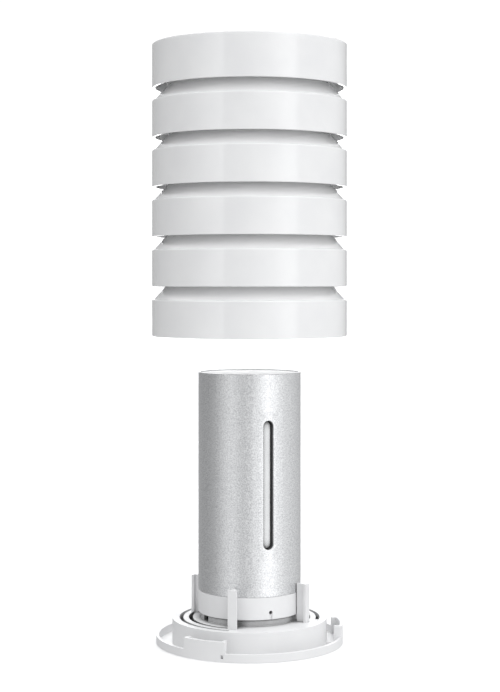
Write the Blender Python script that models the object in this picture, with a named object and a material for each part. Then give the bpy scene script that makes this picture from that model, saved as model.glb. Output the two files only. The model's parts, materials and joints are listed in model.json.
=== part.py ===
"""Louvred outdoor sensor station, in metres, +Z up.

A round base carries four T-section posts.  A cylindrical sensor module stands
between the posts, and a stacked-louvre radiation shield goes down over both.
The shield is modelled lifted clear above the module.  The origin is the centre
of the base's underside and the front faces -Y.  Angles around the axis are in
degrees from the front, positive towards +X.
"""

import math

import bmesh
import bpy
from mathutils import Matrix, Vector

MM = 0.001
FIT_GAP = 0.3 * MM
CUT_PAST = 1.0 * MM
FULL_TURN = 360.0

# Base plate: rim, three panels, drum, floor and tripod boss
RIM_OUTER = 40.95 * MM
RIM_INNER = 39.65 * MM
RIM_HEIGHT = 3.5 * MM
PANEL_TOP = 8.4 * MM
PANEL_CENTRES = (-28.6, 91.4, 211.4)
PANEL_HALF_ANGLE = 14.0
GUSSET_ANGLE = 1.9
GUSSET_INNER = 37.5 * MM
WINDOW_FLOOR = 1.2 * MM
DRUM_OUTER = 33.9 * MM
DRUM_INNER = 32.4 * MM
DRUM_TOP = 10.9 * MM
SHELF_THICKNESS = 1.8 * MM
LIP_INNER = 30.7 * MM
FLOOR_BOTTOM = 2.0 * MM
FLOOR_TOP = 3.5 * MM
BOSS_OUTER = 8.0 * MM
BOSS_INNER = 4.8 * MM
BOSS_TOP = 10.0 * MM
POLAR_STEP = 9.0

# Cradle: deck, shelf, concentric walls, four posts and the ring under the module
CRADLE_FLOOR = (3.8 * MM, 5.3 * MM)
CRADLE_HOLE = 8.6 * MM
SHELF_ANGLES = (-17.0, 77.5)
SHELF_OUTER = LIP_INNER - FIT_GAP
BAFFLE = (26.6 * MM, 29.1 * MM)
INNER_WALL = (23.0 * MM, 24.9 * MM)
POST_ANGLES = (-15.5, 65.0, 164.5, 245.0)
POST_TOP = 27.3 * MM
POST_FLANGE = (26.4 * MM, 27.8 * MM)
POST_FLANGE_HALF_ANGLE = 4.2
POST_WEB_INNER = 22.8 * MM
POST_WEB_HALF_ANGLE = 1.6
SEAT_RING = (19.6 * MM, 21.2 * MM)
SEAT_TOP = 13.3 * MM
SEAT_NOTCH = (-69.0, -57.5)
SCREW_POST = (10.0 * MM, 15.0 * MM)
SCREW_POST_HALF_ANGLE = 12.0
CRADLE_SCREW_ANGLES = (60.0, 180.0, 300.0)
CRADLE_SCREW_CIRCLE = 12.5 * MM
CRADLE_SCREW_FOOT = 0.4 * MM
CRADLE_HOLE_RADIUS = 1.4 * MM

# Tripod bush: quarter-inch thread drawn as a plain bore
BUSH_OUTER = 4.5 * MM
BUSH_BORE = 3.2 * MM
BUSH_SPAN = (0.3 * MM, 9.5 * MM)

# Module, heights above its own underside
MODULE_SEAT = 13.6 * MM
MODULE_RADIUS = 22.5 * MM
MODULE_HEIGHT = 104.7 * MM
MODULE_SEGMENTS = 36
SLEEVE_BORE = 19.5 * MM
SLEEVE_BOTTOM = 9.85 * MM
CAP_RECESS_RADIUS = 21.5 * MM
CAP_RECESS_DEPTH = 2.4 * MM
COLLAR_TOP = 9.55 * MM
COLLAR_FLOOR = 2.0 * MM
SPIGOT = (16.8 * MM, 18.3 * MM)
SPIGOT_TOP = 15.0 * MM
SLOT_ANGLE = 21.3
SLOT_WIDTH = 4.6 * MM
SLOT_SPAN = (29.9 * MM, 84.9 * MM)
KEYHOLE_ANGLE = 23.9
KEYHOLE_HEIGHT = 3.0 * MM
KEYHOLE_WIDTH = 1.6 * MM
KEYHOLE_DEPTH = 1.2 * MM
CAP_PLATE = 1.7 * MM
CAP_PLUG = 5.7 * MM
SEAL = (18.6 * MM, 19.2 * MM)
SEAL_HEIGHT = 1.6 * MM
COLLAR_SEAL_BOTTOM = 11.2 * MM
CAP_SEAL_RISE = 1.4 * MM
LIGHT_GUIDE = (17.8 * MM, 19.1 * MM)
LIGHT_GUIDE_HALF_ANGLE = 9.5
LIGHT_GUIDE_LAP = 2.0 * MM
LIGHT_GUIDE_LAND = 20.6 * MM

# Module innards; board parts as name, finish, span across, span up and depth in mm
CHASSIS_DISC = (17.0 * MM, 18.5 * MM)
CHASSIS_RADIUS = 17.0 * MM
CHASSIS_LEG = 2.6 * MM
BOARD_STUD = 2.2 * MM
BATTERY_SHELF_HALF = 12.0 * MM
BATTERY_SHELF_BACK = 13.5 * MM
BATTERY_SHELF_THICKNESS = 1.5 * MM
SPINE_FRONT = 0.8 * MM
SPINE_BACK = 2.4 * MM
SPINE_HALF_WIDTH = 13.0 * MM
SPINE_TOP = 95.0 * MM
BOARD_FRONT = -2.6 * MM
BOARD_BACK = -1.0 * MM
BOARD_SPAN = (22.0 * MM, 92.0 * MM)
BOARD_PARTS = (
    ("radio_module", "steel", (-7.0, 7.0), (66.0, 84.0), 2.3),
    ("humidity_sensor", "frame", (3.5, 6.5), (30.0, 33.0), 1.3),
    ("status_led", "light_guide", (3.5, 6.5), (55.0, 57.0), 1.5),
)
BATTERY_RADIUS = 5.25 * MM
BATTERY_LENGTH = 44.5 * MM
BATTERY_BOTTOM = 24.0 * MM
BATTERY_X = 5.8 * MM
BATTERY_Y = 8.2 * MM
BATTERY_BUTTON = (1.9 * MM, 0.8 * MM)
CONTACT_ROOM = 1.0 * MM
CONTACT_HALF = 11.0 * MM
CONTACT_DEPTHS = (3.4 * MM, 13.0 * MM)
CONTACT_THICKNESS = (0.5 * MM, 0.4 * MM)
SPRING_TURNS = 3
SPRING_POINTS_PER_TURN = 8
SPRING_RADII = (3.6 * MM, 2.0 * MM)
SPRING_WIRE = 0.3 * MM
SPRING_HEIGHT = 3.4 * MM
SPRING_FOOT = 1.4 * MM
COVER_SCREW_X = 10.0 * MM
COVER_SCREW_FOOT = 0.1 * MM
BOARD_SCREW_HEIGHTS = (26.0 * MM, 88.0 * MM)

# Screws and their stepped holes: head radius, head height, shank radius, whole length
CRADLE_SCREW = (2.3 * MM, 1.3 * MM, 1.05 * MM, 8.7 * MM)
COVER_SCREW = (2.0 * MM, 0.6 * MM, 1.1 * MM, 14.0 * MM)
COVER_SCREW_HOLE = (2.4 * MM, 2.0 * MM, 1.4 * MM, 16.5 * MM)
BOARD_SCREW = (1.9 * MM, 1.0 * MM, 0.9 * MM, 5.6 * MM)
BOARD_HOLE_RADIUS = 1.2 * MM

# Shield, heights above its own lower edge
SHIELD_RADIUS = 42.85 * MM
SKIRT_INNER = 41.35 * MM
SKIRT_HEIGHT = 16.0 * MM
CAP_SKIRT_HEIGHT = 19.0 * MM
ROOF_THICKNESS = 2.0 * MM
ROOF_EDGE = 0.8 * MM
SKIRT_EDGE = (0.5 * MM, 0.4 * MM)
LOUVRE_PITCH = 21.7 * MM
LOUVRE_COUNT = 5
CONE_INNER = 32.0 * MM
CONE_RISE = 10.5 * MM
CONE_WALL = 1.9 * MM
CONE_LIP = (0.6 * MM, 1.0 * MM)
SHIELD_LIFTED = 134.1 * MM
SHIELD_SEGMENTS = 40
TIE_ANGLES = (30.5, 150.5, 270.5)
TIE_CIRCLE = 33.8 * MM
TIE_BOSS_RADIUS = 2.6 * MM
TIE_HOLE_RADIUS = 1.55 * MM
TIE_SCREW_HEAD = (2.3 * MM, 2.0 * MM)
TIE_SHANK_RADIUS = 1.25 * MM
TIE_BOSS_BOTTOM = 13.9 * MM
TIE_TIP = 124.5 * MM
CAP_BOSS_BOTTOM = 114.2 * MM
LUG_SPAN = (3.5 * MM, 5.5 * MM)
LUG_INNER = 38.3 * MM
LUG_HALF_ANGLE = 6.0
LUG_ROOT = 0.6 * MM


def clear_scene():
    for obj in list(bpy.data.objects):
        bpy.data.objects.remove(obj, do_unlink=True)


def make_material(name, colour, roughness, metallic=0.0):
    mat = bpy.data.materials.new(name)
    mat.use_nodes = True
    shader = mat.node_tree.nodes["Principled BSDF"]
    shader.inputs["Base Color"].default_value = (*colour, 1.0)
    shader.inputs["Roughness"].default_value = roughness
    shader.inputs["Metallic"].default_value = metallic
    mat.diffuse_color = (*colour, 1.0)
    return mat


def add_object(name, bm, mat=None, parent=None, location=(0.0, 0.0, 0.0)):
    """Turns a bmesh into an object with its faces pointing out."""
    bmesh.ops.recalc_face_normals(bm, faces=bm.faces)
    mesh = bpy.data.meshes.new(name)
    bm.to_mesh(mesh)
    bm.free()
    mesh.shade_smooth()
    mesh.set_sharp_from_angle(angle=math.radians(35.0))
    obj = bpy.data.objects.new(name, mesh)
    bpy.context.scene.collection.objects.link(obj)
    obj.parent = parent
    obj.location = location
    if mat:
        mesh.materials.append(mat)
    return obj


def add_tool(name, bm, parent=None):
    """A shape that only cuts or joins others."""
    tool = add_object(name, bm, parent=parent)
    tool.hide_render = True
    tool.display_type = "WIRE"
    return tool


def add_boolean(obj, tool, operation):
    mod = obj.modifiers.new(tool.name, "BOOLEAN")
    mod.operation = operation
    mod.solver = "EXACT"
    mod.object = tool


def add_pivot(name, height, parent=None):
    pivot = bpy.data.objects.new(name, None)
    bpy.context.scene.collection.objects.link(pivot)
    pivot.parent = parent
    pivot.location = (0.0, 0.0, height)
    return pivot


def around(radius, angle, height=0.0):
    """A point at an angle from the front, positive towards +X."""
    turn = math.radians(angle)
    return Vector((radius * math.sin(turn), -radius * math.cos(turn), height))


def join_faces(bm, corners):
    """Adds one face, leaving out corners that coincide."""
    unique = list(dict.fromkeys(corners))
    if len(unique) > 2:
        bm.faces.new(unique)


def lathe(profile, segments):
    """Turns a closed (radius, height) outline about Z; radius 0 is the axis."""
    bm = bmesh.new()
    rings = []
    for radius, height in profile:
        if radius == 0.0:
            rings.append([bm.verts.new((0.0, 0.0, height))] * segments)
        else:
            turns = [FULL_TURN * step / segments for step in range(segments)]
            rings.append([bm.verts.new(around(radius, turn, height)) for turn in turns])
    for index, ring in enumerate(rings):
        following = rings[(index + 1) % len(rings)]
        if len(set(ring)) == 1 and len(set(following)) == 1:
            continue
        for step in range(segments):
            after = (step + 1) % segments
            join_faces(bm, (ring[step], ring[after], following[after], following[step]))
    return bm


def full_ring(inner, outer, bottom, top):
    return (inner, outer, 0.0, FULL_TURN, bottom, top)


def inside_block(block, radius, angle, height):
    inner, outer, start, end, bottom, top = block
    if not (inner < radius < outer and bottom < height < top):
        return False
    return (angle - start) % FULL_TURN < end - start


def polar_solid(blocks):
    """Joins blocks (inner, outer, start, end, bottom, top) into one closed shell."""
    radii = sorted({edge for block in blocks for edge in block[0:2]})
    levels = sorted({edge for block in blocks for edge in block[4:6]})
    regular = {POLAR_STEP * step for step in range(round(FULL_TURN / POLAR_STEP))}
    edges = {round(edge % FULL_TURN, 6) for block in blocks for edge in block[2:4]}
    angles = sorted(regular | edges)
    turns = len(angles)

    def filled(ring, step, level):
        if not (0 <= ring < len(radii) - 1 and 0 <= level < len(levels) - 1):
            return False
        start = angles[step % turns]
        width = (angles[(step + 1) % turns] - start) % FULL_TURN
        radius = (radii[ring] + radii[ring + 1]) / 2
        height = (levels[level] + levels[level + 1]) / 2
        return any(inside_block(b, radius, start + width / 2, height) for b in blocks)

    bm = bmesh.new()
    corners = {}

    def corner(ring, step, level):
        key = (ring, step % turns, level)
        if key not in corners:
            corners[key] = bm.verts.new(around(radii[ring], angles[key[1]], levels[level]))
        return corners[key]

    def side(ring, step, level, axis, shift):
        """The face of a cell on one side of one axis."""
        spans = [[ring, ring + 1], [step, step + 1], [level, level + 1]]
        spans[axis] = [spans[axis][0] + shift]
        first, second = [index for index in range(3) if index != axis]
        picks = ((0, 0), (1, 0), (1, 1), (0, 1))
        face = []
        for pick in picks:
            place = [spans[axis][0]] * 3
            place[first] = spans[first][pick[0]]
            place[second] = spans[second][pick[1]]
            face.append(corner(*place))
        return face

    for ring in range(len(radii) - 1):
        for step in range(turns):
            for level in range(len(levels) - 1):
                if not filled(ring, step, level):
                    continue
                for axis in range(3):
                    for shift, move in ((0, -1), (1, 1)):
                        cell = [ring, step, level]
                        cell[axis] += move
                        if not filled(*cell):
                            bm.faces.new(side(ring, step, level, axis, shift))
    bmesh.ops.recalc_face_normals(bm, faces=bm.faces)
    bmesh.ops.dissolve_limit(bm, angle_limit=math.radians(0.5), verts=bm.verts, edges=bm.edges)
    return bm


def add_box(bm, low, high):
    centre = (Vector(low) + Vector(high)) / 2
    size = Vector(high) - Vector(low)
    matrix = Matrix.Translation(centre) @ Matrix.Diagonal((*size, 1.0))
    bmesh.ops.create_cube(bm, size=1.0, matrix=matrix)
    return bm


def add_rod(bm, start, end, radius, segments=12):
    """A round bar between two points."""
    start = Vector(start)
    end = Vector(end)
    along = end - start
    turn = along.to_track_quat("Z", "Y").to_matrix().to_4x4()
    matrix = Matrix.Translation((start + end) / 2) @ turn
    bmesh.ops.create_cone(
        bm, cap_ends=True, segments=segments, radius1=radius, radius2=radius,
        depth=along.length, matrix=matrix)
    return bm


def gather(shapes):
    """Puts (bmesh, offset) pairs into one bmesh."""
    whole = bmesh.new()
    for shape, offset in shapes:
        bmesh.ops.translate(shape, vec=offset, verts=shape.verts)
        mesh = bpy.data.meshes.new("shape")
        shape.to_mesh(mesh)
        shape.free()
        whole.from_mesh(mesh)
        bpy.data.meshes.remove(mesh)
    return whole


def screw_outline(head_radius, head_height, shank_radius, tip):
    """A headed screw standing on its head at height 0."""
    return [
        (0.0, 0.0), (head_radius, 0.0), (head_radius, head_height),
        (shank_radius, head_height), (shank_radius, tip), (0.0, tip)]


# --- Base ------------------------------------------------------------------

def cradle_screw_holes():
    bm = bmesh.new()
    for angle in CRADLE_SCREW_ANGLES:
        foot = around(CRADLE_SCREW_CIRCLE, angle, -CUT_PAST)
        top = around(CRADLE_SCREW_CIRCLE, angle, CRADLE_SCREW_FOOT + CRADLE_SCREW[3] + CUT_PAST)
        add_rod(bm, foot, top, CRADLE_HOLE_RADIUS)
    return add_tool("cradle_screw_hole_tool", bm)


def build_base_plate(mat, holes):
    """Rim, three upright panels with gussets, and the drum with its floor and boss."""
    blocks = [
        full_ring(RIM_INNER, RIM_OUTER, 0.0, RIM_HEIGHT),
        full_ring(DRUM_INNER, DRUM_OUTER, 0.0, DRUM_TOP),
        full_ring(LIP_INNER, DRUM_INNER, DRUM_TOP - SHELF_THICKNESS, DRUM_TOP),
        full_ring(BOSS_OUTER, DRUM_INNER, FLOOR_BOTTOM, FLOOR_TOP),
        full_ring(BOSS_INNER, BOSS_OUTER, 0.0, BOSS_TOP),
    ]
    for centre in PANEL_CENTRES:
        start = centre - PANEL_HALF_ANGLE
        end = centre + PANEL_HALF_ANGLE
        blocks.append((DRUM_OUTER, RIM_INNER, start, end, 0.0, WINDOW_FLOOR))
        blocks.append((RIM_INNER, RIM_OUTER, start, end, RIM_HEIGHT, PANEL_TOP))
        for edge in (start, end - GUSSET_ANGLE):
            gusset = (GUSSET_INNER, RIM_INNER, edge, edge + GUSSET_ANGLE, WINDOW_FLOOR, PANEL_TOP)
            blocks.append(gusset)
    plate = add_object("base_plate", polar_solid(blocks), mat)
    add_boolean(plate, holes, "DIFFERENCE")


def build_cradle(mat, holes):
    """A deck and a plain shelf, with concentric walls and four T-section posts."""
    floor_bottom, floor_top = CRADLE_FLOOR
    deck_bottom = DRUM_TOP - SHELF_THICKNESS
    shelf_start, shelf_end = SHELF_ANGLES
    notch_start, notch_end = SEAT_NOTCH
    blocks = [
        full_ring(CRADLE_HOLE, BAFFLE[1], floor_bottom, floor_top),
        full_ring(CRADLE_HOLE, INNER_WALL[1], deck_bottom, DRUM_TOP),
        full_ring(*INNER_WALL, floor_top, deck_bottom),
        (INNER_WALL[1], SHELF_OUTER, shelf_start, shelf_end, deck_bottom, DRUM_TOP),
        (*BAFFLE, shelf_end, shelf_start + FULL_TURN, floor_top, DRUM_TOP),
        (*SEAT_RING, notch_end, notch_start + FULL_TURN, DRUM_TOP, SEAT_TOP),
    ]
    for angle in POST_ANGLES:
        flange = (angle - POST_FLANGE_HALF_ANGLE, angle + POST_FLANGE_HALF_ANGLE)
        web = (angle - POST_WEB_HALF_ANGLE, angle + POST_WEB_HALF_ANGLE)
        blocks.append((*POST_FLANGE, *flange, floor_top, POST_TOP))
        blocks.append((POST_WEB_INNER, POST_FLANGE[0], *web, floor_top, POST_TOP))
    for angle in CRADLE_SCREW_ANGLES:
        sides = (angle - SCREW_POST_HALF_ANGLE, angle + SCREW_POST_HALF_ANGLE)
        blocks.append((*SCREW_POST, *sides, floor_top, deck_bottom))
    cradle = add_object("cradle", polar_solid(blocks), mat)
    add_boolean(cradle, holes, "DIFFERENCE")


def build_base(mats):
    holes = cradle_screw_holes()
    build_base_plate(mats["base"], holes)
    build_cradle(mats["base"], holes)
    outline = screw_outline(*CRADLE_SCREW)
    for number, angle in enumerate(CRADLE_SCREW_ANGLES, 1):
        place = around(CRADLE_SCREW_CIRCLE, angle, CRADLE_SCREW_FOOT)
        add_object(f"cradle_screw_{number}", lathe(outline, 12), mats["steel"], location=place)
    bush = [(BUSH_BORE, BUSH_SPAN[0]), (BUSH_OUTER, BUSH_SPAN[0]),
            (BUSH_OUTER, BUSH_SPAN[1]), (BUSH_BORE, BUSH_SPAN[1])]
    add_object("tripod_insert", lathe(bush, 24), mats["brass"])


# --- Sensor module ---------------------------------------------------------

def slot_shape(radius, inner, outer):
    """An upright bar with round ends on the slot's middle line, between two depths."""
    low = SLOT_SPAN[0] + SLOT_WIDTH / 2
    high = SLOT_SPAN[1] - SLOT_WIDTH / 2
    bm = bmesh.new()
    rim = []
    for centre, first in ((high, 0.0), (low, math.pi)):
        for step in range(9):
            turn = first + math.pi * step / 8
            rim.append((radius * math.cos(turn), centre + radius * math.sin(turn)))
    back = [bm.verts.new((x, -inner, z)) for x, z in rim]
    front = [bm.verts.new((x, -outer, z)) for x, z in rim]
    bm.faces.new(back)
    bm.faces.new(front)
    for index, corner in enumerate(back):
        after = (index + 1) % len(back)
        bm.faces.new((corner, back[after], front[after], front[index]))
    bmesh.ops.rotate(bm, matrix=Matrix.Rotation(math.radians(SLOT_ANGLE), 3, "Z"), verts=bm.verts)
    return bm


def keyhole_tool(parent):
    bm = bmesh.new()
    half = KEYHOLE_WIDTH / 2
    front = -MODULE_RADIUS - CUT_PAST
    back = -MODULE_RADIUS + KEYHOLE_DEPTH
    add_box(bm, (-half, front, -CUT_PAST), (half, back, KEYHOLE_HEIGHT))
    bmesh.ops.rotate(bm, matrix=Matrix.Rotation(math.radians(KEYHOLE_ANGLE), 3, "Z"), verts=bm.verts)
    return add_tool("keyhole_tool", bm, parent)


def cover_screw_holes(parent):
    """Two stepped holes that take the screws and sink their heads."""
    outline = screw_outline(*COVER_SCREW_HOLE)
    offsets = [(side * COVER_SCREW_X, 0.0, -CUT_PAST) for side in (-1, 1)]
    bm = gather([(lathe(outline, 12), offset) for offset in offsets])
    return add_tool("cover_screw_hole_tool", bm, parent)


def build_housing(mats, pivot, screw_holes):
    """Sleeve, cap and collar with their seals, and the light guide behind the slot."""
    cap_floor = MODULE_HEIGHT - CAP_RECESS_DEPTH
    sleeve = add_object("sleeve", lathe([
        (SLEEVE_BORE, SLEEVE_BOTTOM), (MODULE_RADIUS, SLEEVE_BOTTOM),
        (MODULE_RADIUS, MODULE_HEIGHT), (CAP_RECESS_RADIUS, MODULE_HEIGHT),
        (CAP_RECESS_RADIUS, cap_floor), (SLEEVE_BORE, cap_floor),
    ], MODULE_SEGMENTS), mats["aluminium"], pivot)
    slot = slot_shape(SLOT_WIDTH / 2, SLEEVE_BORE - 2 * CUT_PAST, MODULE_RADIUS + 2 * CUT_PAST)
    add_boolean(sleeve, add_tool("slot_tool", slot, pivot), "DIFFERENCE")

    collar = add_object("collar", lathe([
        (0.0, 0.0), (MODULE_RADIUS, 0.0), (MODULE_RADIUS, COLLAR_TOP),
        (SPIGOT[1], COLLAR_TOP), (SPIGOT[1], SPIGOT_TOP), (SPIGOT[0], SPIGOT_TOP),
        (SPIGOT[0], COLLAR_FLOOR), (0.0, COLLAR_FLOOR),
    ], MODULE_SEGMENTS), mats["cover"], pivot)
    add_boolean(collar, keyhole_tool(pivot), "DIFFERENCE")
    add_boolean(collar, screw_holes, "DIFFERENCE")

    plate_bottom = cap_floor + FIT_GAP
    plug_bottom = plate_bottom - CAP_PLUG
    add_object("top_cap", lathe([
        (0.0, plate_bottom - CAP_PLATE), (SPIGOT[0], plate_bottom - CAP_PLATE),
        (SPIGOT[0], plug_bottom), (SPIGOT[1], plug_bottom), (SPIGOT[1], plate_bottom),
        (CAP_RECESS_RADIUS - FIT_GAP, plate_bottom),
        (CAP_RECESS_RADIUS - FIT_GAP, MODULE_HEIGHT - FIT_GAP), (0.0, MODULE_HEIGHT - FIT_GAP),
    ], MODULE_SEGMENTS), mats["cover"], pivot)

    seals = (("collar_seal", COLLAR_SEAL_BOTTOM), ("cap_seal", plug_bottom + CAP_SEAL_RISE))
    for name, bottom in seals:
        ring = [(SEAL[0], bottom), (SEAL[1], bottom),
                (SEAL[1], bottom + SEAL_HEIGHT), (SEAL[0], bottom + SEAL_HEIGHT)]
        add_object(name, lathe(ring, MODULE_SEGMENTS), mats["rubber"], pivot)

    sides = (SLOT_ANGLE - LIGHT_GUIDE_HALF_ANGLE, SLOT_ANGLE + LIGHT_GUIDE_HALF_ANGLE)
    ends = (SLOT_SPAN[0] - LIGHT_GUIDE_LAP, SLOT_SPAN[1] + LIGHT_GUIDE_LAP)
    guide = polar_solid([(*LIGHT_GUIDE, *sides, *ends)])
    light_guide = add_object("light_guide", guide, mats["light_guide"], pivot)
    land = slot_shape(SLOT_WIDTH / 2 - FIT_GAP, sum(LIGHT_GUIDE) / 2, LIGHT_GUIDE_LAND)
    add_boolean(light_guide, add_tool("land_tool", land, pivot), "UNION")


def board_screw_holes(parent):
    bm = bmesh.new()
    for height in BOARD_SCREW_HEIGHTS:
        front = (0.0, BOARD_FRONT - CUT_PAST, height)
        back = (0.0, SPINE_BACK + CUT_PAST, height)
        add_rod(bm, front, back, BOARD_HOLE_RADIUS)
    return add_tool("board_screw_hole_tool", bm, parent)


def build_chassis(mats, pivot, cover_holes, board_holes):
    """A disc on two legs, with a spine for the board and the batteries."""
    disc = [(0.0, CHASSIS_DISC[0]), (CHASSIS_RADIUS, CHASSIS_DISC[0]),
            (CHASSIS_RADIUS, CHASSIS_DISC[1]), (0.0, CHASSIS_DISC[1])]
    chassis = add_object("chassis", lathe(disc, 24), mats["frame"], pivot)
    shelf_bottom = BATTERY_BOTTOM + BATTERY_LENGTH + CONTACT_ROOM
    spine = add_box(
        bmesh.new(), (-SPINE_HALF_WIDTH, SPINE_FRONT, CHASSIS_DISC[0] + FIT_GAP),
        (SPINE_HALF_WIDTH, SPINE_BACK, SPINE_TOP))
    shelf = add_box(
        bmesh.new(), (-BATTERY_SHELF_HALF, SPINE_FRONT + FIT_GAP, shelf_bottom),
        (BATTERY_SHELF_HALF, BATTERY_SHELF_BACK, shelf_bottom + BATTERY_SHELF_THICKNESS))
    legs = bmesh.new()
    for side in (-1, 1):
        foot = (side * COVER_SCREW_X, 0.0, COLLAR_FLOOR + FIT_GAP)
        top = (side * COVER_SCREW_X, 0.0, CHASSIS_DISC[1] - FIT_GAP)
        add_rod(legs, foot, top, CHASSIS_LEG)
    for height in BOARD_SCREW_HEIGHTS:
        seat = (0.0, BOARD_BACK + FIT_GAP, height)
        add_rod(legs, seat, (0.0, SPINE_BACK - FIT_GAP, height), BOARD_STUD)
    for name, bm in (("spine_tool", spine), ("shelf_tool", shelf), ("leg_tool", legs)):
        add_boolean(chassis, add_tool(name, bm, pivot), "UNION")
    add_boolean(chassis, cover_holes, "DIFFERENCE")
    add_boolean(chassis, board_holes, "DIFFERENCE")


def build_electronics(mats, pivot, board_holes):
    low = (-SPINE_HALF_WIDTH, BOARD_FRONT, BOARD_SPAN[0])
    high = (SPINE_HALF_WIDTH, BOARD_BACK, BOARD_SPAN[1])
    board = add_object("circuit_board", add_box(bmesh.new(), low, high), mats["board"], pivot)
    add_boolean(board, board_holes, "DIFFERENCE")
    face = BOARD_FRONT - FIT_GAP
    for name, finish, across, up, depth in BOARD_PARTS:
        corner = (across[0] * MM, face - depth * MM, up[0] * MM)
        opposite = (across[1] * MM, face, up[1] * MM)
        add_object(name, add_box(bmesh.new(), corner, opposite), mats[finish], pivot)


def battery_outline():
    button_radius, button_height = BATTERY_BUTTON
    shoulder = BATTERY_LENGTH - button_height
    return [(0.0, 0.0), (BATTERY_RADIUS, 0.0), (BATTERY_RADIUS, shoulder),
            (button_radius, shoulder), (button_radius, BATTERY_LENGTH), (0.0, BATTERY_LENGTH)]


def conical_spring(name, mat, parent, location):
    """A tapering wire coil that presses on a battery's end."""
    count = SPRING_TURNS * SPRING_POINTS_PER_TURN
    wide, narrow = SPRING_RADII
    curve = bpy.data.curves.new(name, "CURVE")
    curve.dimensions = "3D"
    curve.bevel_depth = SPRING_WIRE
    curve.bevel_resolution = 1
    curve.use_fill_caps = True
    spline = curve.splines.new("POLY")
    spline.points.add(count)
    for index in range(count + 1):
        share = index / count
        radius = wide + (narrow - wide) * share
        turn = FULL_TURN * index / SPRING_POINTS_PER_TURN
        spot = around(radius, turn, share * SPRING_HEIGHT)
        spline.points[index].co = (*spot, 1.0)
    curve.materials.append(mat)
    obj = bpy.data.objects.new(name, curve)
    bpy.context.scene.collection.objects.link(obj)
    obj.parent = parent
    obj.location = location


def build_power(mats, pivot):
    """Two cells side by side, one each way up, with springs and contact plates."""
    for number, side in ((1, -1), (2, 1)):
        cell = add_object(
            f"battery_{number}", lathe(battery_outline(), 16), mats["cell"], pivot,
            (side * BATTERY_X, BATTERY_Y, BATTERY_BOTTOM))
        if side > 0:
            cell.rotation_euler = (math.pi, 0.0, 0.0)
            cell.location.z = BATTERY_BOTTOM + BATTERY_LENGTH
        spring_place = (side * BATTERY_X, BATTERY_Y, CHASSIS_DISC[1] + SPRING_FOOT)
        conical_spring(f"battery_spring_{number}", mats["steel"], pivot, spring_place)
    levels = {
        "contact_plate_bottom": CHASSIS_DISC[1] + FIT_GAP,
        "contact_plate_top": BATTERY_BOTTOM + BATTERY_LENGTH + FIT_GAP,
    }
    for (name, level), thickness in zip(levels.items(), CONTACT_THICKNESS):
        low = (-CONTACT_HALF, CONTACT_DEPTHS[0], level)
        high = (CONTACT_HALF, CONTACT_DEPTHS[1], level + thickness)
        add_object(name, add_box(bmesh.new(), low, high), mats["steel"], pivot)


def build_module(mats, pivot):
    cover_holes = cover_screw_holes(pivot)
    board_holes = board_screw_holes(pivot)
    build_housing(mats, pivot, cover_holes)
    build_chassis(mats, pivot, cover_holes, board_holes)
    build_electronics(mats, pivot, board_holes)
    build_power(mats, pivot)
    outline = screw_outline(*COVER_SCREW)
    for number, side in ((1, -1), (2, 1)):
        place = (side * COVER_SCREW_X, 0.0, COVER_SCREW_FOOT)
        add_object(f"cover_screw_{number}", lathe(outline, 12), mats["steel"], pivot, place)
    outline = screw_outline(*BOARD_SCREW)
    for number, height in enumerate(BOARD_SCREW_HEIGHTS, 1):
        place = (0.0, BOARD_FRONT - BOARD_SCREW[1] - FIT_GAP, height)
        screw = add_object(f"board_screw_{number}", lathe(outline, 12), mats["steel"], pivot, place)
        screw.rotation_euler = (-math.pi / 2, 0.0, 0.0)


# --- Shield ----------------------------------------------------------------

def tie_bars(radius, bottom, top):
    bm = bmesh.new()
    for angle in TIE_ANGLES:
        add_rod(bm, around(TIE_CIRCLE, angle, bottom), around(TIE_CIRCLE, angle, top), radius)
    return bm


def louvre_outline(bottom):
    """A skirt whose top turns inwards and upwards into a cone."""
    top = bottom + SKIRT_HEIGHT
    return [
        (SKIRT_INNER, bottom), (SHIELD_RADIUS, bottom), (SHIELD_RADIUS, top - SKIRT_EDGE[1]),
        (SHIELD_RADIUS - SKIRT_EDGE[0], top), (CONE_INNER + CONE_LIP[0], top + CONE_RISE),
        (CONE_INNER, top + CONE_RISE - CONE_LIP[1]), (SKIRT_INNER, top - CONE_WALL)]


def cap_outline(bottom):
    top = bottom + CAP_SKIRT_HEIGHT
    return [
        (SKIRT_INNER, bottom), (SHIELD_RADIUS, bottom), (SHIELD_RADIUS, top - ROOF_EDGE),
        (SHIELD_RADIUS - ROOF_EDGE, top), (0.0, top), (0.0, top - ROOF_THICKNESS),
        (SKIRT_INNER, top - ROOF_THICKNESS)]


def lug_shape():
    """Three short inward arcs near the lowest skirt's edge."""
    lugs = []
    for centre in TIE_ANGLES:
        sides = (centre - LUG_HALF_ANGLE, centre + LUG_HALF_ANGLE)
        lugs.append((LUG_INNER, SKIRT_INNER + LUG_ROOT, *sides, *LUG_SPAN))
    return polar_solid(lugs)


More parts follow.
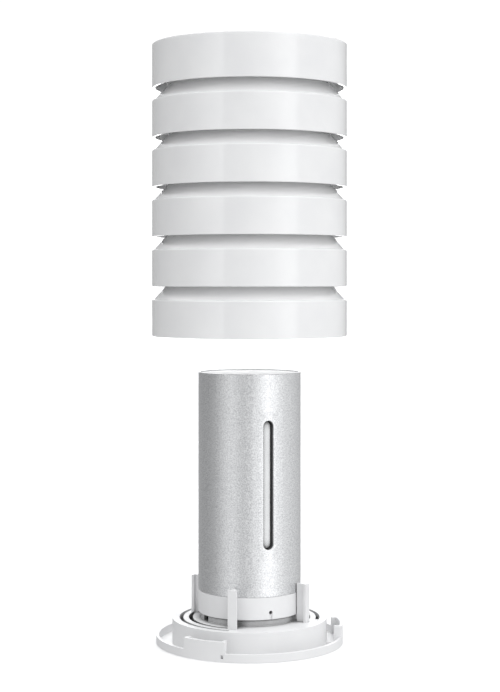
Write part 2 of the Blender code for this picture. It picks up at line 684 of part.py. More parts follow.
def build_shield(mats, pivot):
    holes = add_tool("tie_hole_tool", tie_bars(TIE_HOLE_RADIUS, 0.0, TIE_TIP + FIT_GAP), pivot)
    cap_bottom = LOUVRE_COUNT * LOUVRE_PITCH
    roof_inside = cap_bottom + CAP_SKIRT_HEIGHT - ROOF_THICKNESS / 2
    cap = add_object("shield_cap", lathe(cap_outline(cap_bottom), SHIELD_SEGMENTS), mats["shield"], pivot)
    bosses = add_tool("cap_boss_tool", tie_bars(TIE_BOSS_RADIUS, CAP_BOSS_BOTTOM, roof_inside), pivot)
    add_boolean(cap, bosses, "UNION")
    add_boolean(cap, holes, "DIFFERENCE")

    for number in range(1, LOUVRE_COUNT + 1):
        bottom = (LOUVRE_COUNT - number) * LOUVRE_PITCH
        louvre = add_object(
            f"louvre_{number}", lathe(louvre_outline(bottom), SHIELD_SEGMENTS), mats["shield"], pivot)
        boss_top = min(bottom + TIE_BOSS_BOTTOM + LOUVRE_PITCH, CAP_BOSS_BOTTOM) - FIT_GAP
        bars = tie_bars(TIE_BOSS_RADIUS, bottom + TIE_BOSS_BOTTOM, boss_top)
        add_boolean(louvre, add_tool(f"louvre_boss_tool_{number}", bars, pivot), "UNION")
        if number == LOUVRE_COUNT:
            add_boolean(louvre, add_tool("lug_tool", lug_shape(), pivot), "UNION")
        add_boolean(louvre, holes, "DIFFERENCE")

    head_bottom = TIE_BOSS_BOTTOM - FIT_GAP - TIE_SCREW_HEAD[1]
    outline = screw_outline(*TIE_SCREW_HEAD, TIE_SHANK_RADIUS, TIE_TIP - head_bottom)
    for number, angle in enumerate(TIE_ANGLES, 1):
        place = around(TIE_CIRCLE, angle, head_bottom)
        add_object(f"tie_screw_{number}", lathe(outline, 12), mats["steel"], pivot, place)


def make_materials():
    looks = {
        "shield": ((0.86, 0.87, 0.88), 0.18, 0.0),
        "base": ((0.84, 0.84, 0.84), 0.42, 0.0),
        "cover": ((0.86, 0.86, 0.86), 0.35, 0.0),
        "aluminium": ((0.62, 0.63, 0.64), 0.45, 1.0),
        "steel": ((0.6, 0.6, 0.6), 0.3, 1.0),
        "brass": ((0.75, 0.56, 0.25), 0.3, 1.0),
        "rubber": ((0.03, 0.03, 0.03), 0.7, 0.0),
        "light_guide": ((0.8, 0.81, 0.82), 0.5, 0.0),
        "frame": ((0.75, 0.75, 0.74), 0.5, 0.0),
        "board": ((0.02, 0.16, 0.07), 0.5, 0.0),
        "cell": ((0.12, 0.13, 0.15), 0.3, 0.2),
    }
    return {name: make_material(name, *look) for name, look in looks.items()}


def build_station():
    clear_scene()
    mats = make_materials()
    module_pivot = add_pivot("module_lift_pivot", MODULE_SEAT)
    shield_pivot = add_pivot("shield_lift_pivot", SHIELD_LIFTED - MODULE_SEAT, module_pivot)
    build_base(mats)
    build_module(mats, module_pivot)
    build_shield(mats, shield_pivot)


build_station()
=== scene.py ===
"""Looks of the louvred outdoor weather sensor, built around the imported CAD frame.

Units are metres.  Angles around the axis are in degrees from the front (-Y),
positive towards +X.  A round outline is a list of (radius, height, fillet).
A pair of radii goes from inner to outer, a pair of heights from low to high,
and an edge or a fillet is the radius of a rounding.
"""

import json
import math

import bmesh
import bpy
from mathutils import Matrix, Vector


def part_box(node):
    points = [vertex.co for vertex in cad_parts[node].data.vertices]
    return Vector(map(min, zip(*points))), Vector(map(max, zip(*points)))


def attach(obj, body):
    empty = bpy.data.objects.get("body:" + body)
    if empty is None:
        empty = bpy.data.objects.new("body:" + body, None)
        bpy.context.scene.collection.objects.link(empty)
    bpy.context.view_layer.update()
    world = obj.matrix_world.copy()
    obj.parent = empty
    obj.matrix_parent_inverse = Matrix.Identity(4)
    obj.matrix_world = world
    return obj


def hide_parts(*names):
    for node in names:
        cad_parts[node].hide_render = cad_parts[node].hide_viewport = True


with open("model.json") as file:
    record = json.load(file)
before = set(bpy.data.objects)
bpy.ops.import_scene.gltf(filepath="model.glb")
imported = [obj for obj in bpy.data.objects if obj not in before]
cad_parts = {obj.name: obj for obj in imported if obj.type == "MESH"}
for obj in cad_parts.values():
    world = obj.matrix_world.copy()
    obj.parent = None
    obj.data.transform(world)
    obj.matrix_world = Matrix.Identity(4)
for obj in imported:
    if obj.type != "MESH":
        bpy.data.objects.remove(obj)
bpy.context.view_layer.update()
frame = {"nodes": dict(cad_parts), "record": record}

MM = 0.001
FULL_TURN = 360.0
QUARTER_TURN = 90.0

# The frame's own sizes
SHIELD_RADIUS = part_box("shield_cap")[1].x
SHIELD_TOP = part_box("shield_cap")[1].z
CAP_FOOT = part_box("shield_cap")[0].z
SHIELD_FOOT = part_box("louvre_5")[0].z
LOUVRE_FEET = {number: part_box(f"louvre_{number}")[0].z for number in range(1, 6)}
MODULE_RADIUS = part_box("sleeve")[1].x
MODULE_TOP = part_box("sleeve")[1].z
MODULE_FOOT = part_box("collar")[0].z
RIM_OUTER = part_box("base_plate")[1].x
DRUM_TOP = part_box("base_plate")[1].z
POST_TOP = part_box("cradle")[1].z

# Shield: rings, tie bosses and snap lugs
WALL = 1.5 * MM
SKIRT_INNER = SHIELD_RADIUS - WALL
SKIRT_HEIGHT = 16.0 * MM
CONE_INNER = 32.0 * MM
CONE_RISE = 10.5 * MM
CONE_WALL = 1.9 * MM
ROOF_THICKNESS = 2.0 * MM
ROOF_CROWN = 0.1 * MM
ROOF_EDGE = 0.35 * MM
CEILING_DROP = 0.2 * MM
CEILING_FILLET = 1.2 * MM
SKIRT_FOOT_EDGES = (0.35 * MM, 0.45 * MM)
SKIRT_TOP_EDGE = 0.5 * MM
SHOULDER = 0.7 * MM
SHOULDER_EDGE = 0.15 * MM
CONE_TIP = (0.6 * MM, 1.0 * MM)  # run and drop of its cut end
CONE_TIP_EDGE = 0.35 * MM
CONE_ROOT_FILLET = 1.0 * MM
TIE_ANGLES = (30.5, 150.5, 270.5)
TIE_CIRCLE = 33.8 * MM
TIE_BOSS = (1.55 * MM, 2.6 * MM)
TIE_BOSS_BOTTOM = 13.9 * MM  # above the ring's foot
TIE_BOSS_EDGE = 0.25 * MM
TIE_BOSS_SEGMENTS = 24
CAP_BOSS_BOTTOM = SHIELD_FOOT + 114.2 * MM
LOUVRE_PITCH = LOUVRE_FEET[4] - LOUVRE_FEET[5]
LUG_SPAN = (3.5 * MM, 5.5 * MM)  # above the shield's foot
LUG_INNER = 38.3 * MM
LUG_HALF_ANGLE = 6.0
LUG_EDGE = 0.35 * MM
OVERLAP = 0.5 * MM
FIT_GAP = 0.3 * MM

# Screws: head radius, head height, shank radius; shares are of the head's or the shank's size
TIE_SCREW = (2.3 * MM, 2.0 * MM, 1.25 * MM)
CRADLE_SCREW = (2.3 * MM, 1.3 * MM, 1.05 * MM)
HEAD_ROUNDING = 0.45
HEAD_EDGE = 0.08 * MM
THREAD_PITCH = 0.5 * MM
THREAD_DEPTH = 0.18 * MM
TIP_SHARE = 0.5
RECESS_DEPTH = 0.6
RECESS_SHARES = (1.25, 0.28)  # length and width of a slot, in head radii

# Base: rim, panels, drum, cradle, posts and bush
RIM_INNER = RIM_OUTER - 1.3 * MM
RIM_HEIGHT = 3.5 * MM
PANEL_TOP = 8.4 * MM
PANEL_CENTRES = (-28.6, 91.4, 211.4)
PANEL_HALF_ANGLE = 14.0
PANEL_EYE = (11.6, 13.0)  # degrees past the panel's centre
PANEL_EYE_SPAN = (1.4 * MM, 2.9 * MM)
GUSSET_ANGLE = 1.9
GUSSET_INNER = 37.5 * MM
WINDOW_FLOOR = 1.2 * MM
DRUM_OUTER = 33.9 * MM
DRUM_INNER = 32.4 * MM
SHELF_THICKNESS = 1.8 * MM
LIP_INNER = 30.7 * MM
SHELF_ANGLES = (-17.0, 77.5)
SHELF_OUTER = LIP_INNER - 0.08 * MM
FLOOR = (2.0 * MM, 3.5 * MM)
BOSS = (4.8 * MM, 8.0 * MM)
BOSS_TOP = 10.0 * MM
BAFFLE = (26.6 * MM, 29.1 * MM)
INNER_WALL = (23.0 * MM, 24.9 * MM)
CRADLE_FLOOR = (3.8 * MM, 5.3 * MM)
CRADLE_HOLE = 8.6 * MM
SEAT_RING = (19.6 * MM, 21.2 * MM)
SEAT_TOP = 13.3 * MM
SEAT_NOTCH = (-69.0, -57.5)
POST_ANGLES = (-15.5, 65.0, 164.5, 245.0)
POST_FLANGE = (26.4 * MM, 27.8 * MM)
POST_FLANGE_HALF_ANGLE = 4.2
POST_WEB_INNER = 22.8 * MM
POST_WEB_HALF_ANGLE = 1.6
SCREW_POST = (10.0 * MM, 15.0 * MM)
SCREW_POST_HALF_ANGLE = 12.0
CRADLE_SCREW_ANGLES = (60.0, 180.0, 300.0)
CRADLE_SCREW_CIRCLE = 12.5 * MM
BASE_EDGE = 0.25 * MM
CRADLE_EDGE = 0.22 * MM
BUSH_BORE = 3.2 * MM
BUSH_EDGE = 0.3 * MM
BUSH_PITCH = 1.27 * MM
BUSH_THREAD_DEPTH = 0.5 * MM
BUSH_PLAIN_LENGTH = 0.6 * MM
BUSH_COUNTERSINK = 0.4 * MM

# Module: sleeve with its slot, collar, top disc, light guide and cells
SLEEVE_WALL = 3.0 * MM
CAP_RECESS_RADIUS = 21.5 * MM
CAP_RECESS_DEPTH = 2.4 * MM
COLLAR_HEIGHT = 9.62 * MM
SEAM = 0.04 * MM
SLOT_ANGLE = 21.3
SLOT_RADIUS = 2.3 * MM
SLOT_CLEARANCE = 0.3 * MM
LAND_ASIDE = -0.22 * MM  # off the slot's middle, so that more of the dark sheet of painted shade shows on one side
LIGHT_GUIDE = (17.8 * MM, 19.1 * MM)
LIGHT_GUIDE_LAND = 20.6 * MM
LIGHT_GUIDE_HALF_ANGLE = 9.5
SLOT_COLUMNS = 24
SLOT_ROWS = 40
SLOT_SPAN = (29.9 * MM, 84.9 * MM)  # above the module's foot
SPIGOT = (16.8 * MM, 18.3 * MM)
SPIGOT_TOP = 15.0 * MM
SPIGOT_EDGE = 0.4 * MM
COLLAR_FLOOR = 2.0 * MM
COLLAR_FOOT_EDGE = 0.5 * MM
COLLAR_TOP_EDGE = 0.2 * MM
KEYHOLE_ANGLE = 23.9
KEYHOLE_HEIGHT = 3.1 * MM
KEYHOLE_RADIUS = 0.85 * MM
KEYHOLE_DEPTH = 5.0 * MM
KEYHOLE_INSET = 1.0 * MM
KEYHOLE_SEGMENTS = 24
KEY_SLOT_HEIGHT = 0.9 * MM
KEY_SLOT_SIZE = (1.45 * MM, 1.4 * MM, 4.2 * MM)  # across, deep, high
PATCH_MARGIN = 9.0 * MM
PATCH_RIMS = (2.2 * MM, 0.9 * MM)  # loops outside the slot's edge, which keep the wall smooth
SLOT_LIP = 0.3 * MM
LIP_STEPS = 5
WELD_DISTANCE = 0.003 * MM
SLEEVE_EDGE = 0.25 * MM
SHADE_SHEET_THICKNESS = 0.07 * MM  # a dark sheet of painted shade on the slot's wall; its front and back are depths below the sleeve's outside
SHADE_SHEET_FRONT = 0.7 * MM
SHADE_SHEET_BACK = SLEEVE_WALL - 0.05 * MM
TOP_DISC_GAPS = (0.12 * MM, 0.3 * MM)  # round it, above it
TOP_DISC_DROPS = (1.7 * MM, 5.7 * MM)  # of its underside and its spigot, below the recess floor
TOP_DISC_EDGES = (0.1 * MM, 0.2 * MM, 0.25 * MM, 0.3 * MM)  # corner, foot, top, inside
SEAL_INNER = 18.6 * MM
SEAL_ROUNDING = 0.25 * MM
GUIDE_EDGE = 0.3 * MM
LAND_EDGE = 0.35 * MM
LAND_STEPS = 4
LAND_CREST = 0.02 * MM
CELL_FOOT = (0.6 * MM, 0.1 * MM)  # inset, rounding
CELL_HEEL = (0.5 * MM, 0.3 * MM)  # height, rounding
CELL_SHOULDER = (1.4 * MM, 0.4 * MM)  # drop, rounding
CELL_NECK = (0.8 * MM, 0.9 * MM, 0.2 * MM)  # inset, drop, rounding
CELL_BUTTON = (1.9 * MM, 0.1 * MM, 0.3 * MM)  # radius, roundings at root and top

# Fineness of the meshes
RING_SEGMENTS = 256
BUSH_SEGMENTS = 96
SCREW_SEGMENTS = 24
SEAL_SEGMENTS = 128
CELL_SEGMENTS = 64
FINE_STEP = 1.5
SHARP_ANGLE = 40.0
CUT_SHARP_ANGLE = 35.0
BEVEL_SEGMENTS = 3
FILLET_STEPS = 5
ANGLE_DIGITS = 6

# Painted shade in narrow gaps, painted light where the factor is above 1: factor on the colour in a
# closed gap, reach, openness of a closed and of an open spot
SHIELD_PAINTED_GAP_LIGHT = (1.2, 16.0 * MM, 0.4, 0.9)
BASE_PAINTED_GAP_SHADE = (0.1, 3.0 * MM, 0.1, 0.35)
CRADLE_PAINTED_GAP_SHADE = (0.1, 6.0 * MM, 0.27, 0.7)
COVER_PAINTED_GAP_SHADE = (0.5, 2.0 * MM, 0.1, 0.5)
GUIDE_PAINTED_WALL_SHADE = (0.1, 4.0 * MM, 0.5, 0.78)
FRAME_PAINTED_GAP_SHADE = (0.3, 3.0 * MM, 0.15, 0.6)
OCCLUSION_SAMPLES = 8

# Places of the colour sockets on a Mix node, which has sockets of every type under the same names
MIX_FACTOR = 0
MIX_INPUTS = (6, 7)
MIX_RESULT = 2

# Shares of a noise's range, and of a roughness, that a finish spreads over
NOISE_SPAN = (0.3, 0.7)
GRAIN_SPAN = (0.35, 0.65)
PLASTIC_GLOSS = (0.85, 1.2)
METAL_GLOSS = (0.8, 1.3)
WAVE_DEPTH = 0.02 * MM  # slow waves in moulded plastic

# Studio: radiance of the walls by azimuth, ceiling and ground, and the heights they blend over
WALL_LIGHT = (
    (-180.0, 3.2), (-174.0, 3.2), (-171.0, 0.5), (-150.0, 0.42), (-120.0, 0.34), (-90.0, 0.35),
    (-75.0, 0.45), (-48.0, 0.93), (-30.5, 1.28), (-29.0, 0.5), (0.0, 0.58), (10.0, 0.85),
    (25.0, 1.1), (42.0, 1.85), (53.0, 1.85), (60.0, 0.95), (100.0, 0.8), (150.0, 0.52),
    (168.0, 0.4), (172.0, 3.2))
BRIGHTEST_WALL = 3.2
CEILING_LIGHT = 1.9
CEILING_BLEND = (0.45, 0.85)
GROUND_LIGHT = 0.85
GROUND_BLEND = (0.3, 0.9)
LIGHT_TINT = (0.985, 0.992, 1.0, 1.0)
BACKDROP_STRENGTH = 1.05
STAGE_RADIUS = 8.0
STAGE_SEGMENTS = 96
STAGE_DROP = 0.0001

# Camera
LENS = 81.71
LENS_SHIFT = -0.0923
SENSOR_WIDTH = 36.0
CLIP_RANGE = (0.01, 50.0)
CAMERA_PLACE = (0.0002, -0.69045, 0.15766)


# --- Meshes ----------------------------------------------------------------

def around(radius, angle, height=0.0):
    """The point at a radius, an angle from the front and a height."""
    turn = math.radians(angle)
    return Vector((radius * math.sin(turn), -radius * math.cos(turn), height))


def make_object(name, bm, finish):
    """Turns a bmesh into an object with outward faces and crisp smooth shading."""
    bmesh.ops.recalc_face_normals(bm, faces=bm.faces)
    mesh = bpy.data.meshes.new(name)
    bm.to_mesh(mesh)
    bm.free()
    mesh.shade_smooth()
    mesh.set_sharp_from_angle(angle=math.radians(SHARP_ANGLE))
    mesh.materials.append(finish)
    obj = bpy.data.objects.new(name, mesh)
    bpy.context.scene.collection.objects.link(obj)
    return obj


def soften(obj, width):
    """Rounds the sharp edges and keeps the flats flat."""
    bevel = obj.modifiers.new("edges", "BEVEL")
    bevel.width = width
    bevel.segments = BEVEL_SEGMENTS
    bevel.limit_method = "ANGLE"
    bevel.angle_limit = math.radians(SHARP_ANGLE)
    keep_flat(obj)


def keep_flat(obj):
    """Weights the normals by area, so that broad faces shade flat."""
    weighted = obj.modifiers.new("flats", "WEIGHTED_NORMAL")
    weighted.keep_sharp = True


def fillet(before, corner, after, radius):
    """Replaces one corner of an outline by an arc."""
    inward = (Vector(before) - Vector(corner)).normalized()
    outward = (Vector(after) - Vector(corner)).normalized()
    half = inward.angle(outward) / 2
    reach = radius / math.tan(half)
    start = Vector(corner) + inward * reach
    end = Vector(corner) + outward * reach
    centre = Vector(corner) + (inward + outward).normalized() * radius / math.sin(half)
    first = start - centre
    sweep = first.angle_signed(end - centre)
    points = []
    for step in range(FILLET_STEPS + 1):
        turned = Matrix.Rotation(-sweep * step / FILLET_STEPS, 2) @ first
        points.append(tuple(centre + turned))
    return points


def rounded(outline):
    """Rounds every corner of a closed outline that has a fillet."""
    points = []
    count = len(outline)
    for index, (radius, height, size) in enumerate(outline):
        if size == 0.0:
            points.append((radius, height))
            continue
        before = outline[index - 1][:2]
        after = outline[(index + 1) % count][:2]
        points += fillet(before, (radius, height), after, size)
    return points


def lathe(outline, segments=RING_SEGMENTS):
    """Turns a closed outline about Z; radius 0 is the axis."""
    bm = bmesh.new()
    rings = []
    for radius, height in rounded(outline):
        if radius == 0.0:
            rings.append([bm.verts.new((0.0, 0.0, height))] * segments)
        else:
            turns = [FULL_TURN * step / segments for step in range(segments)]
            rings.append([bm.verts.new(around(radius, turn, height)) for turn in turns])
    for index, ring in enumerate(rings):
        following = rings[(index + 1) % len(rings)]
        if len(set(ring)) == 1 and len(set(following)) == 1:
            continue
        for step in range(segments):
            after = (step + 1) % segments
            corners = (ring[step], ring[after], following[after], following[step])
            bm.faces.new(list(dict.fromkeys(corners)))
    return bm


def full_ring(inner, outer, bottom, top):
    """A polar block that goes all the way round."""
    return (inner, outer, 0.0, FULL_TURN, bottom, top)


def inside_block(block, radius, angle, height):
    """Whether a point lies inside a polar block."""
    inner, outer, start, end, bottom, top = block
    if not (inner < radius < outer and bottom < height < top):
        return False
    return (angle - start) % FULL_TURN < end - start


def polar_solid(blocks):
    """Joins blocks (inner, outer, start, end, bottom, top) into one closed shell."""
    radii = sorted({edge for block in blocks for edge in block[0:2]})
    levels = sorted({edge for block in blocks for edge in block[4:6]})
    edges = {round(edge % FULL_TURN, ANGLE_DIGITS) for block in blocks for edge in block[2:4]}
    regular = {FINE_STEP * step for step in range(round(FULL_TURN / FINE_STEP))}
    near = {turn for turn in regular for edge in edges if abs(turn - edge) < FINE_STEP / 3}
    angles = sorted((regular - near) | edges)
    turns = len(angles)
    known = {}

    def filled(ring, step, level):
        """Whether the middle of a cell of the grid lies inside any block."""
        if not (0 <= ring < len(radii) - 1 and 0 <= level < len(levels) - 1):
            return False
        key = (ring, step % turns, level)
        if key not in known:
            start = angles[key[1]]
            width = (angles[(key[1] + 1) % turns] - start) % FULL_TURN
            radius = (radii[ring] + radii[ring + 1]) / 2
            height = (levels[level] + levels[level + 1]) / 2
            known[key] = any(inside_block(b, radius, start + width / 2, height) for b in blocks)
        return known[key]

    bm = bmesh.new()
    corners = {}

    def corner(spot):
        """The one vertex at a crossing of the grid."""
        key = (spot[0], spot[1] % turns, spot[2])
        if key not in corners:
            corners[key] = bm.verts.new(around(radii[key[0]], angles[key[1]], levels[key[2]]))
        return corners[key]

    def add_side(cell, axis, shift):
        """The face of a cell across one axis, at its near (0) or far (1) side."""
        first, second = [index for index in range(3) if index != axis]
        face = []
        for pick in ((0, 0), (1, 0), (1, 1), (0, 1)):
            spot = list(cell)
            spot[axis] += shift
            spot[first] += pick[0]
            spot[second] += pick[1]
            face.append(corner(spot))
        bm.faces.new(face)

    for ring in range(len(radii) - 1):
        for step in range(turns):
            for level in range(len(levels) - 1):
                if not filled(ring, step, level):
                    continue
                for axis in range(3):
                    for shift, move in ((0, -1), (1, 1)):
                        cell = [ring, step, level]
                        beside = list(cell)
                        beside[axis] += move
                        if not filled(*beside):
                            add_side(cell, axis, shift)
    return bm


def gather(shapes):
    """Puts (bmesh, offset) pairs into one bmesh."""
    whole = bmesh.new()
    for shape, offset in shapes:
        bmesh.ops.translate(shape, vec=offset, verts=shape.verts)
        mesh = bpy.data.meshes.new("shape")
        shape.to_mesh(mesh)
        shape.free()
        whole.from_mesh(mesh)
        bpy.data.meshes.remove(mesh)
    return whole


def place(obj, body, slot, *nodes):
    """Lets a piece ride on a body in place of any CAD nodes named, which it hides; the slot is not
    used.
    """
    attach(obj, body)
    if nodes:
        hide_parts(*nodes)


# --- Finishes --------------------------------------------------------------

class Finish:
    """A Principled material whose colour, roughness and relief come from nodes."""

    def __init__(self, name, roughness, metallic=0.0):
        self.mat = bpy.data.materials.new(name)
        self.mat.use_nodes = True
        self.tree = self.mat.node_tree
        self.shader = self.tree.nodes["Principled BSDF"]
        self.shader.inputs["Roughness"].default_value = roughness
        self.shader.inputs["Metallic"].default_value = metallic
        self.coords = self.add("ShaderNodeTexCoord").outputs["Object"]
        self.height = None

    def add(self, kind, **values):
        node = self.tree.nodes.new(kind)
        for key, value in values.items():
            setattr(node, key, value)
        return node

    def link(self, source, target):
        self.tree.links.new(source, target)

    def noise(self, scale, detail=2.0, stretch=None):
        """Noise with a cell of about 1 / scale metres; a stretch scales its coordinates first."""
        node = self.add("ShaderNodeTexNoise")
        node.inputs["Scale"].default_value = scale
        node.inputs["Detail"].default_value = detail
        coords = self.coords
        if stretch:
            mapping = self.add("ShaderNodeMapping")
            mapping.inputs["Scale"].default_value = stretch
            self.link(self.coords, mapping.inputs["Vector"])
            coords = mapping.outputs["Vector"]
        self.link(coords, node.inputs["Vector"])
        return node.outputs["Fac"]

    def colour(self, source, dark, light, span=NOISE_SPAN):
        """Colour from dark to light as the source goes through the span."""
        ramp = self.add("ShaderNodeValToRGB")
        for element, position, shade in zip(ramp.color_ramp.elements, span, (dark, light)):
            element.position = position
            element.color = (*shade, 1.0)
        self.link(source, ramp.inputs["Fac"])
        self.link(ramp.outputs["Color"], self.shader.inputs["Base Color"])

    def painted_gap_shading(self, deepest, reach, closed, open_from):
        """Paints shade into narrow gaps: scales the colour by deepest where they are closed and by 1
        in the open, so a deepest above 1 paints light there instead.
        """
        colour = self.shader.inputs["Base Color"].links[0].from_socket
        openness = self.add("ShaderNodeAmbientOcclusion", samples=OCCLUSION_SAMPLES)
        openness.inputs["Distance"].default_value = reach
        share = self.add("ShaderNodeMapRange")
        share.inputs["From Min"].default_value = closed
        share.inputs["From Max"].default_value = open_from
        share.inputs["To Min"].default_value = deepest
        self.link(openness.outputs["AO"], share.inputs["Value"])
        shade = self.add("ShaderNodeMix", data_type="RGBA", blend_type="MULTIPLY")
        shade.inputs[MIX_FACTOR].default_value = 1.0
        self.link(colour, shade.inputs[MIX_INPUTS[0]])
        self.link(share.outputs["Result"], shade.inputs[MIX_INPUTS[1]])
        self.link(shade.outputs[MIX_RESULT], self.shader.inputs["Base Color"])

    def gloss(self, source, low, high):
        """Roughness between low and high."""
        span = self.add("ShaderNodeMapRange")
        span.inputs["From Min"].default_value = NOISE_SPAN[0]
        span.inputs["From Max"].default_value = NOISE_SPAN[1]
        span.inputs["To Min"].default_value = low
        span.inputs["To Max"].default_value = high
        self.link(source, span.inputs["Value"])
        self.link(span.outputs["Result"], self.shader.inputs["Roughness"])

    def relief(self, source, depth):
        """Adds a bump of a given depth on top of the ones before it."""
        bump = self.add("ShaderNodeBump")
        bump.inputs["Strength"].default_value = 1.0
        bump.inputs["Distance"].default_value = depth
        self.link(source, bump.inputs["Height"])
        if self.height:
            self.link(self.height, bump.inputs["Normal"])
        self.height = bump.outputs["Normal"]
        self.link(self.height, self.shader.inputs["Normal"])


def plastic(name, dark, light, roughness, texture_depth, painted_gap_shading):
    """Moulded plastic: cloudy tone, uneven gloss, slow waves, a fine skin and painted shading that
    scales the colour in its narrow gaps.
    """
    finish = Finish(name, roughness)
    finish.colour(finish.noise(55.0, detail=3.0), dark, light)
    finish.painted_gap_shading(*painted_gap_shading)
    finish.gloss(finish.noise(160.0, detail=3.0), *[roughness * share for share in PLASTIC_GLOSS])
    finish.relief(finish.noise(45.0, detail=1.0), WAVE_DEPTH)
    finish.relief(finish.noise(2600.0), texture_depth)
    return finish.mat


def gloss_white():
    """Highly polished white under a clear skin; painted light brightens its colour in the narrow gaps,
    the shaded recesses between the rings.
    """
    mat = plastic(
        "gloss_white", dark=(0.78, 0.78, 0.785), light=(0.82, 0.82, 0.82), roughness=0.13,
        texture_depth=0.0005 * MM, painted_gap_shading=SHIELD_PAINTED_GAP_LIGHT)
    shader = mat.node_tree.nodes["Principled BSDF"]
    shader.inputs["Subsurface Weight"].default_value = 0.5
    shader.inputs["Subsurface Radius"].default_value = (1.0, 1.0, 1.0)
    shader.inputs["Subsurface Scale"].default_value = 1.2 * MM
    shader.inputs["Coat Weight"].default_value = 1.0
    shader.inputs["Coat Roughness"].default_value = 0.04
    return mat


def satin_white(name, painted_gap_shading):
    """The base's white; its two finishes differ only in how deep the painted shade in their narrow
    gaps goes.
    """
    return plastic(
        name, dark=(0.74, 0.74, 0.745), light=(0.78, 0.78, 0.785), roughness=0.5,
        texture_depth=0.003 * MM, painted_gap_shading=painted_gap_shading)


def blasted_aluminium():
    """Bead-blasted and anodised: a close random speckle with tiny dimples."""
    finish = Finish("blasted_aluminium", roughness=0.42, metallic=1.0)
    grain = finish.noise(2200.0, detail=3.0)
    finish.colour(grain, dark=(0.6, 0.605, 0.615), light=(0.9, 0.905, 0.91), span=GRAIN_SPAN)
    finish.gloss(finish.noise(900.0), low=0.38, high=0.48)
    finish.relief(finish.noise(2600.0, detail=3.0), depth=0.01 * MM)
    return finish.mat


def turned_metal(name, dark, light, roughness):
    """Plated or turned metal with fine marks around the axis."""
    finish = Finish(name, roughness, metallic=1.0)
    finish.colour(finish.noise(900.0, detail=4.0), dark, light)
    finish.gloss(finish.noise(1400.0), *[roughness * share for share in METAL_GLOSS])
    finish.relief(finish.noise(1200.0, stretch=(1.0, 1.0, 6.0)), depth=0.004 * MM)
    return finish.mat


def soft_rubber():
    """Dark grey rubber with a dull, slightly rough skin."""
    finish = Finish("soft_rubber", roughness=0.75)
    finish.colour(finish.noise(700.0, detail=3.0), dark=(0.05, 0.05, 0.052), light=(0.09, 0.09, 0.092))
    finish.relief(finish.noise(2200.0), depth=0.01 * MM)
    return finish.mat


def milky_guide():
    """Light milky plastic, with painted shade that darkens it towards the slot's walls."""
    finish = Finish("milky_guide", roughness=0.45)
    finish.colour(finish.noise(120.0), dark=(0.88, 0.885, 0.89), light=(0.94, 0.945, 0.95))
    finish.painted_gap_shading(*GUIDE_PAINTED_WALL_SHADE)
    finish.gloss(finish.noise(500.0), low=0.38, high=0.55)
    finish.relief(finish.noise(1800.0), depth=0.002 * MM)
    return finish.mat


def solder_mask():
    """Green lacquer with slightly raised tracks below it."""
    finish = Finish("solder_mask", roughness=0.35)
    tracks = finish.add("ShaderNodeTexBrick")
    tracks.offset = 0.37
    tracks.inputs["Color1"].default_value = (0.01, 0.16, 0.06, 1.0)
    tracks.inputs["Color2"].default_value = (0.012, 0.2, 0.075, 1.0)
    tracks.inputs["Mortar"].default_value = (0.02, 0.27, 0.11, 1.0)
    tracks.inputs["Scale"].default_value = 160.0
    tracks.inputs["Mortar Size"].default_value = 0.03
    mapping = finish.add("ShaderNodeMapping")
    mapping.inputs["Rotation"].default_value = (math.radians(QUARTER_TURN), 0.0, 0.0)
    finish.link(finish.coords, mapping.inputs["Vector"])
    finish.link(mapping.outputs["Vector"], tracks.inputs["Vector"])
    finish.link(tracks.outputs["Color"], finish.shader.inputs["Base Color"])
    finish.relief(tracks.outputs["Fac"], depth=0.02 * MM)
    return finish.mat


def cell_wrap():
    """A dark printed film over a steel can."""
    finish = Finish("cell_wrap", roughness=0.28, metallic=0.3)
    finish.colour(finish.noise(80.0), dark=(0.035, 0.04, 0.05), light=(0.07, 0.075, 0.09))
    finish.gloss(finish.noise(500.0), low=0.22, high=0.36)
    finish.relief(finish.noise(300.0), depth=0.01 * MM)
    return finish.mat


# One finish for each material slot; the cradle's white, a copy of base_white with deeper painted shade
# in its gaps, is a second one
FINISHES = {
    "shield_white": gloss_white(),
    "base_white": satin_white("base_white", BASE_PAINTED_GAP_SHADE),
    "cradle_white_deep_shade": satin_white("cradle_white_deep_shade", CRADLE_PAINTED_GAP_SHADE),
    # cover_white carries painted shade that darkens its colour in narrow gaps
    "cover_white": plastic(
        "cover_white", dark=(0.76, 0.76, 0.765), light=(0.8, 0.8, 0.805), roughness=0.36,
        texture_depth=0.002 * MM, painted_gap_shading=COVER_PAINTED_GAP_SHADE),
    "sleeve_aluminium": blasted_aluminium(),
    "steel": turned_metal(
        "plated_steel", dark=(0.5, 0.5, 0.51), light=(0.68, 0.68, 0.68), roughness=0.3),
    "brass": turned_metal(
        "turned_brass", dark=(0.6, 0.42, 0.16), light=(0.78, 0.58, 0.27), roughness=0.28),
    "rubber": soft_rubber(),
    "light_guide": milky_guide(),
    # frame_white carries painted shade that darkens its colour in narrow gaps
    "frame_white": plastic(
        "frame_white", dark=(0.62, 0.62, 0.6), light=(0.7, 0.7, 0.68), roughness=0.5,
        texture_depth=0.004 * MM, painted_gap_shading=FRAME_PAINTED_GAP_SHADE),
    "board_green": solder_mask(),
    "cell_wrap": cell_wrap(),
}


def refinish_cad_nodes():
    """Every CAD node that stays visible takes its slot's procedural finish."""
    slots = {row["node"]: row["material_slot"] for row in frame["record"]["subparts"]}
    for node, obj in frame["nodes"].items():
        obj.data.materials.clear()
        obj.data.materials.append(FINISHES[slots[node]])


# --- Shield ----------------------------------------------------------------

def tie_tubes(bottom, top):
    """Three tubes on the tie circle, open right through."""
    inner, outer = TIE_BOSS
    edge = TIE_BOSS_EDGE
    outline = [(inner, bottom, 0.0), (outer, bottom, edge), (outer, top, edge), (inner, top, 0.0)]
    places = [around(TIE_CIRCLE, angle) for angle in TIE_ANGLES]
    return gather([(lathe(outline, TIE_BOSS_SEGMENTS), spot) for spot in places])


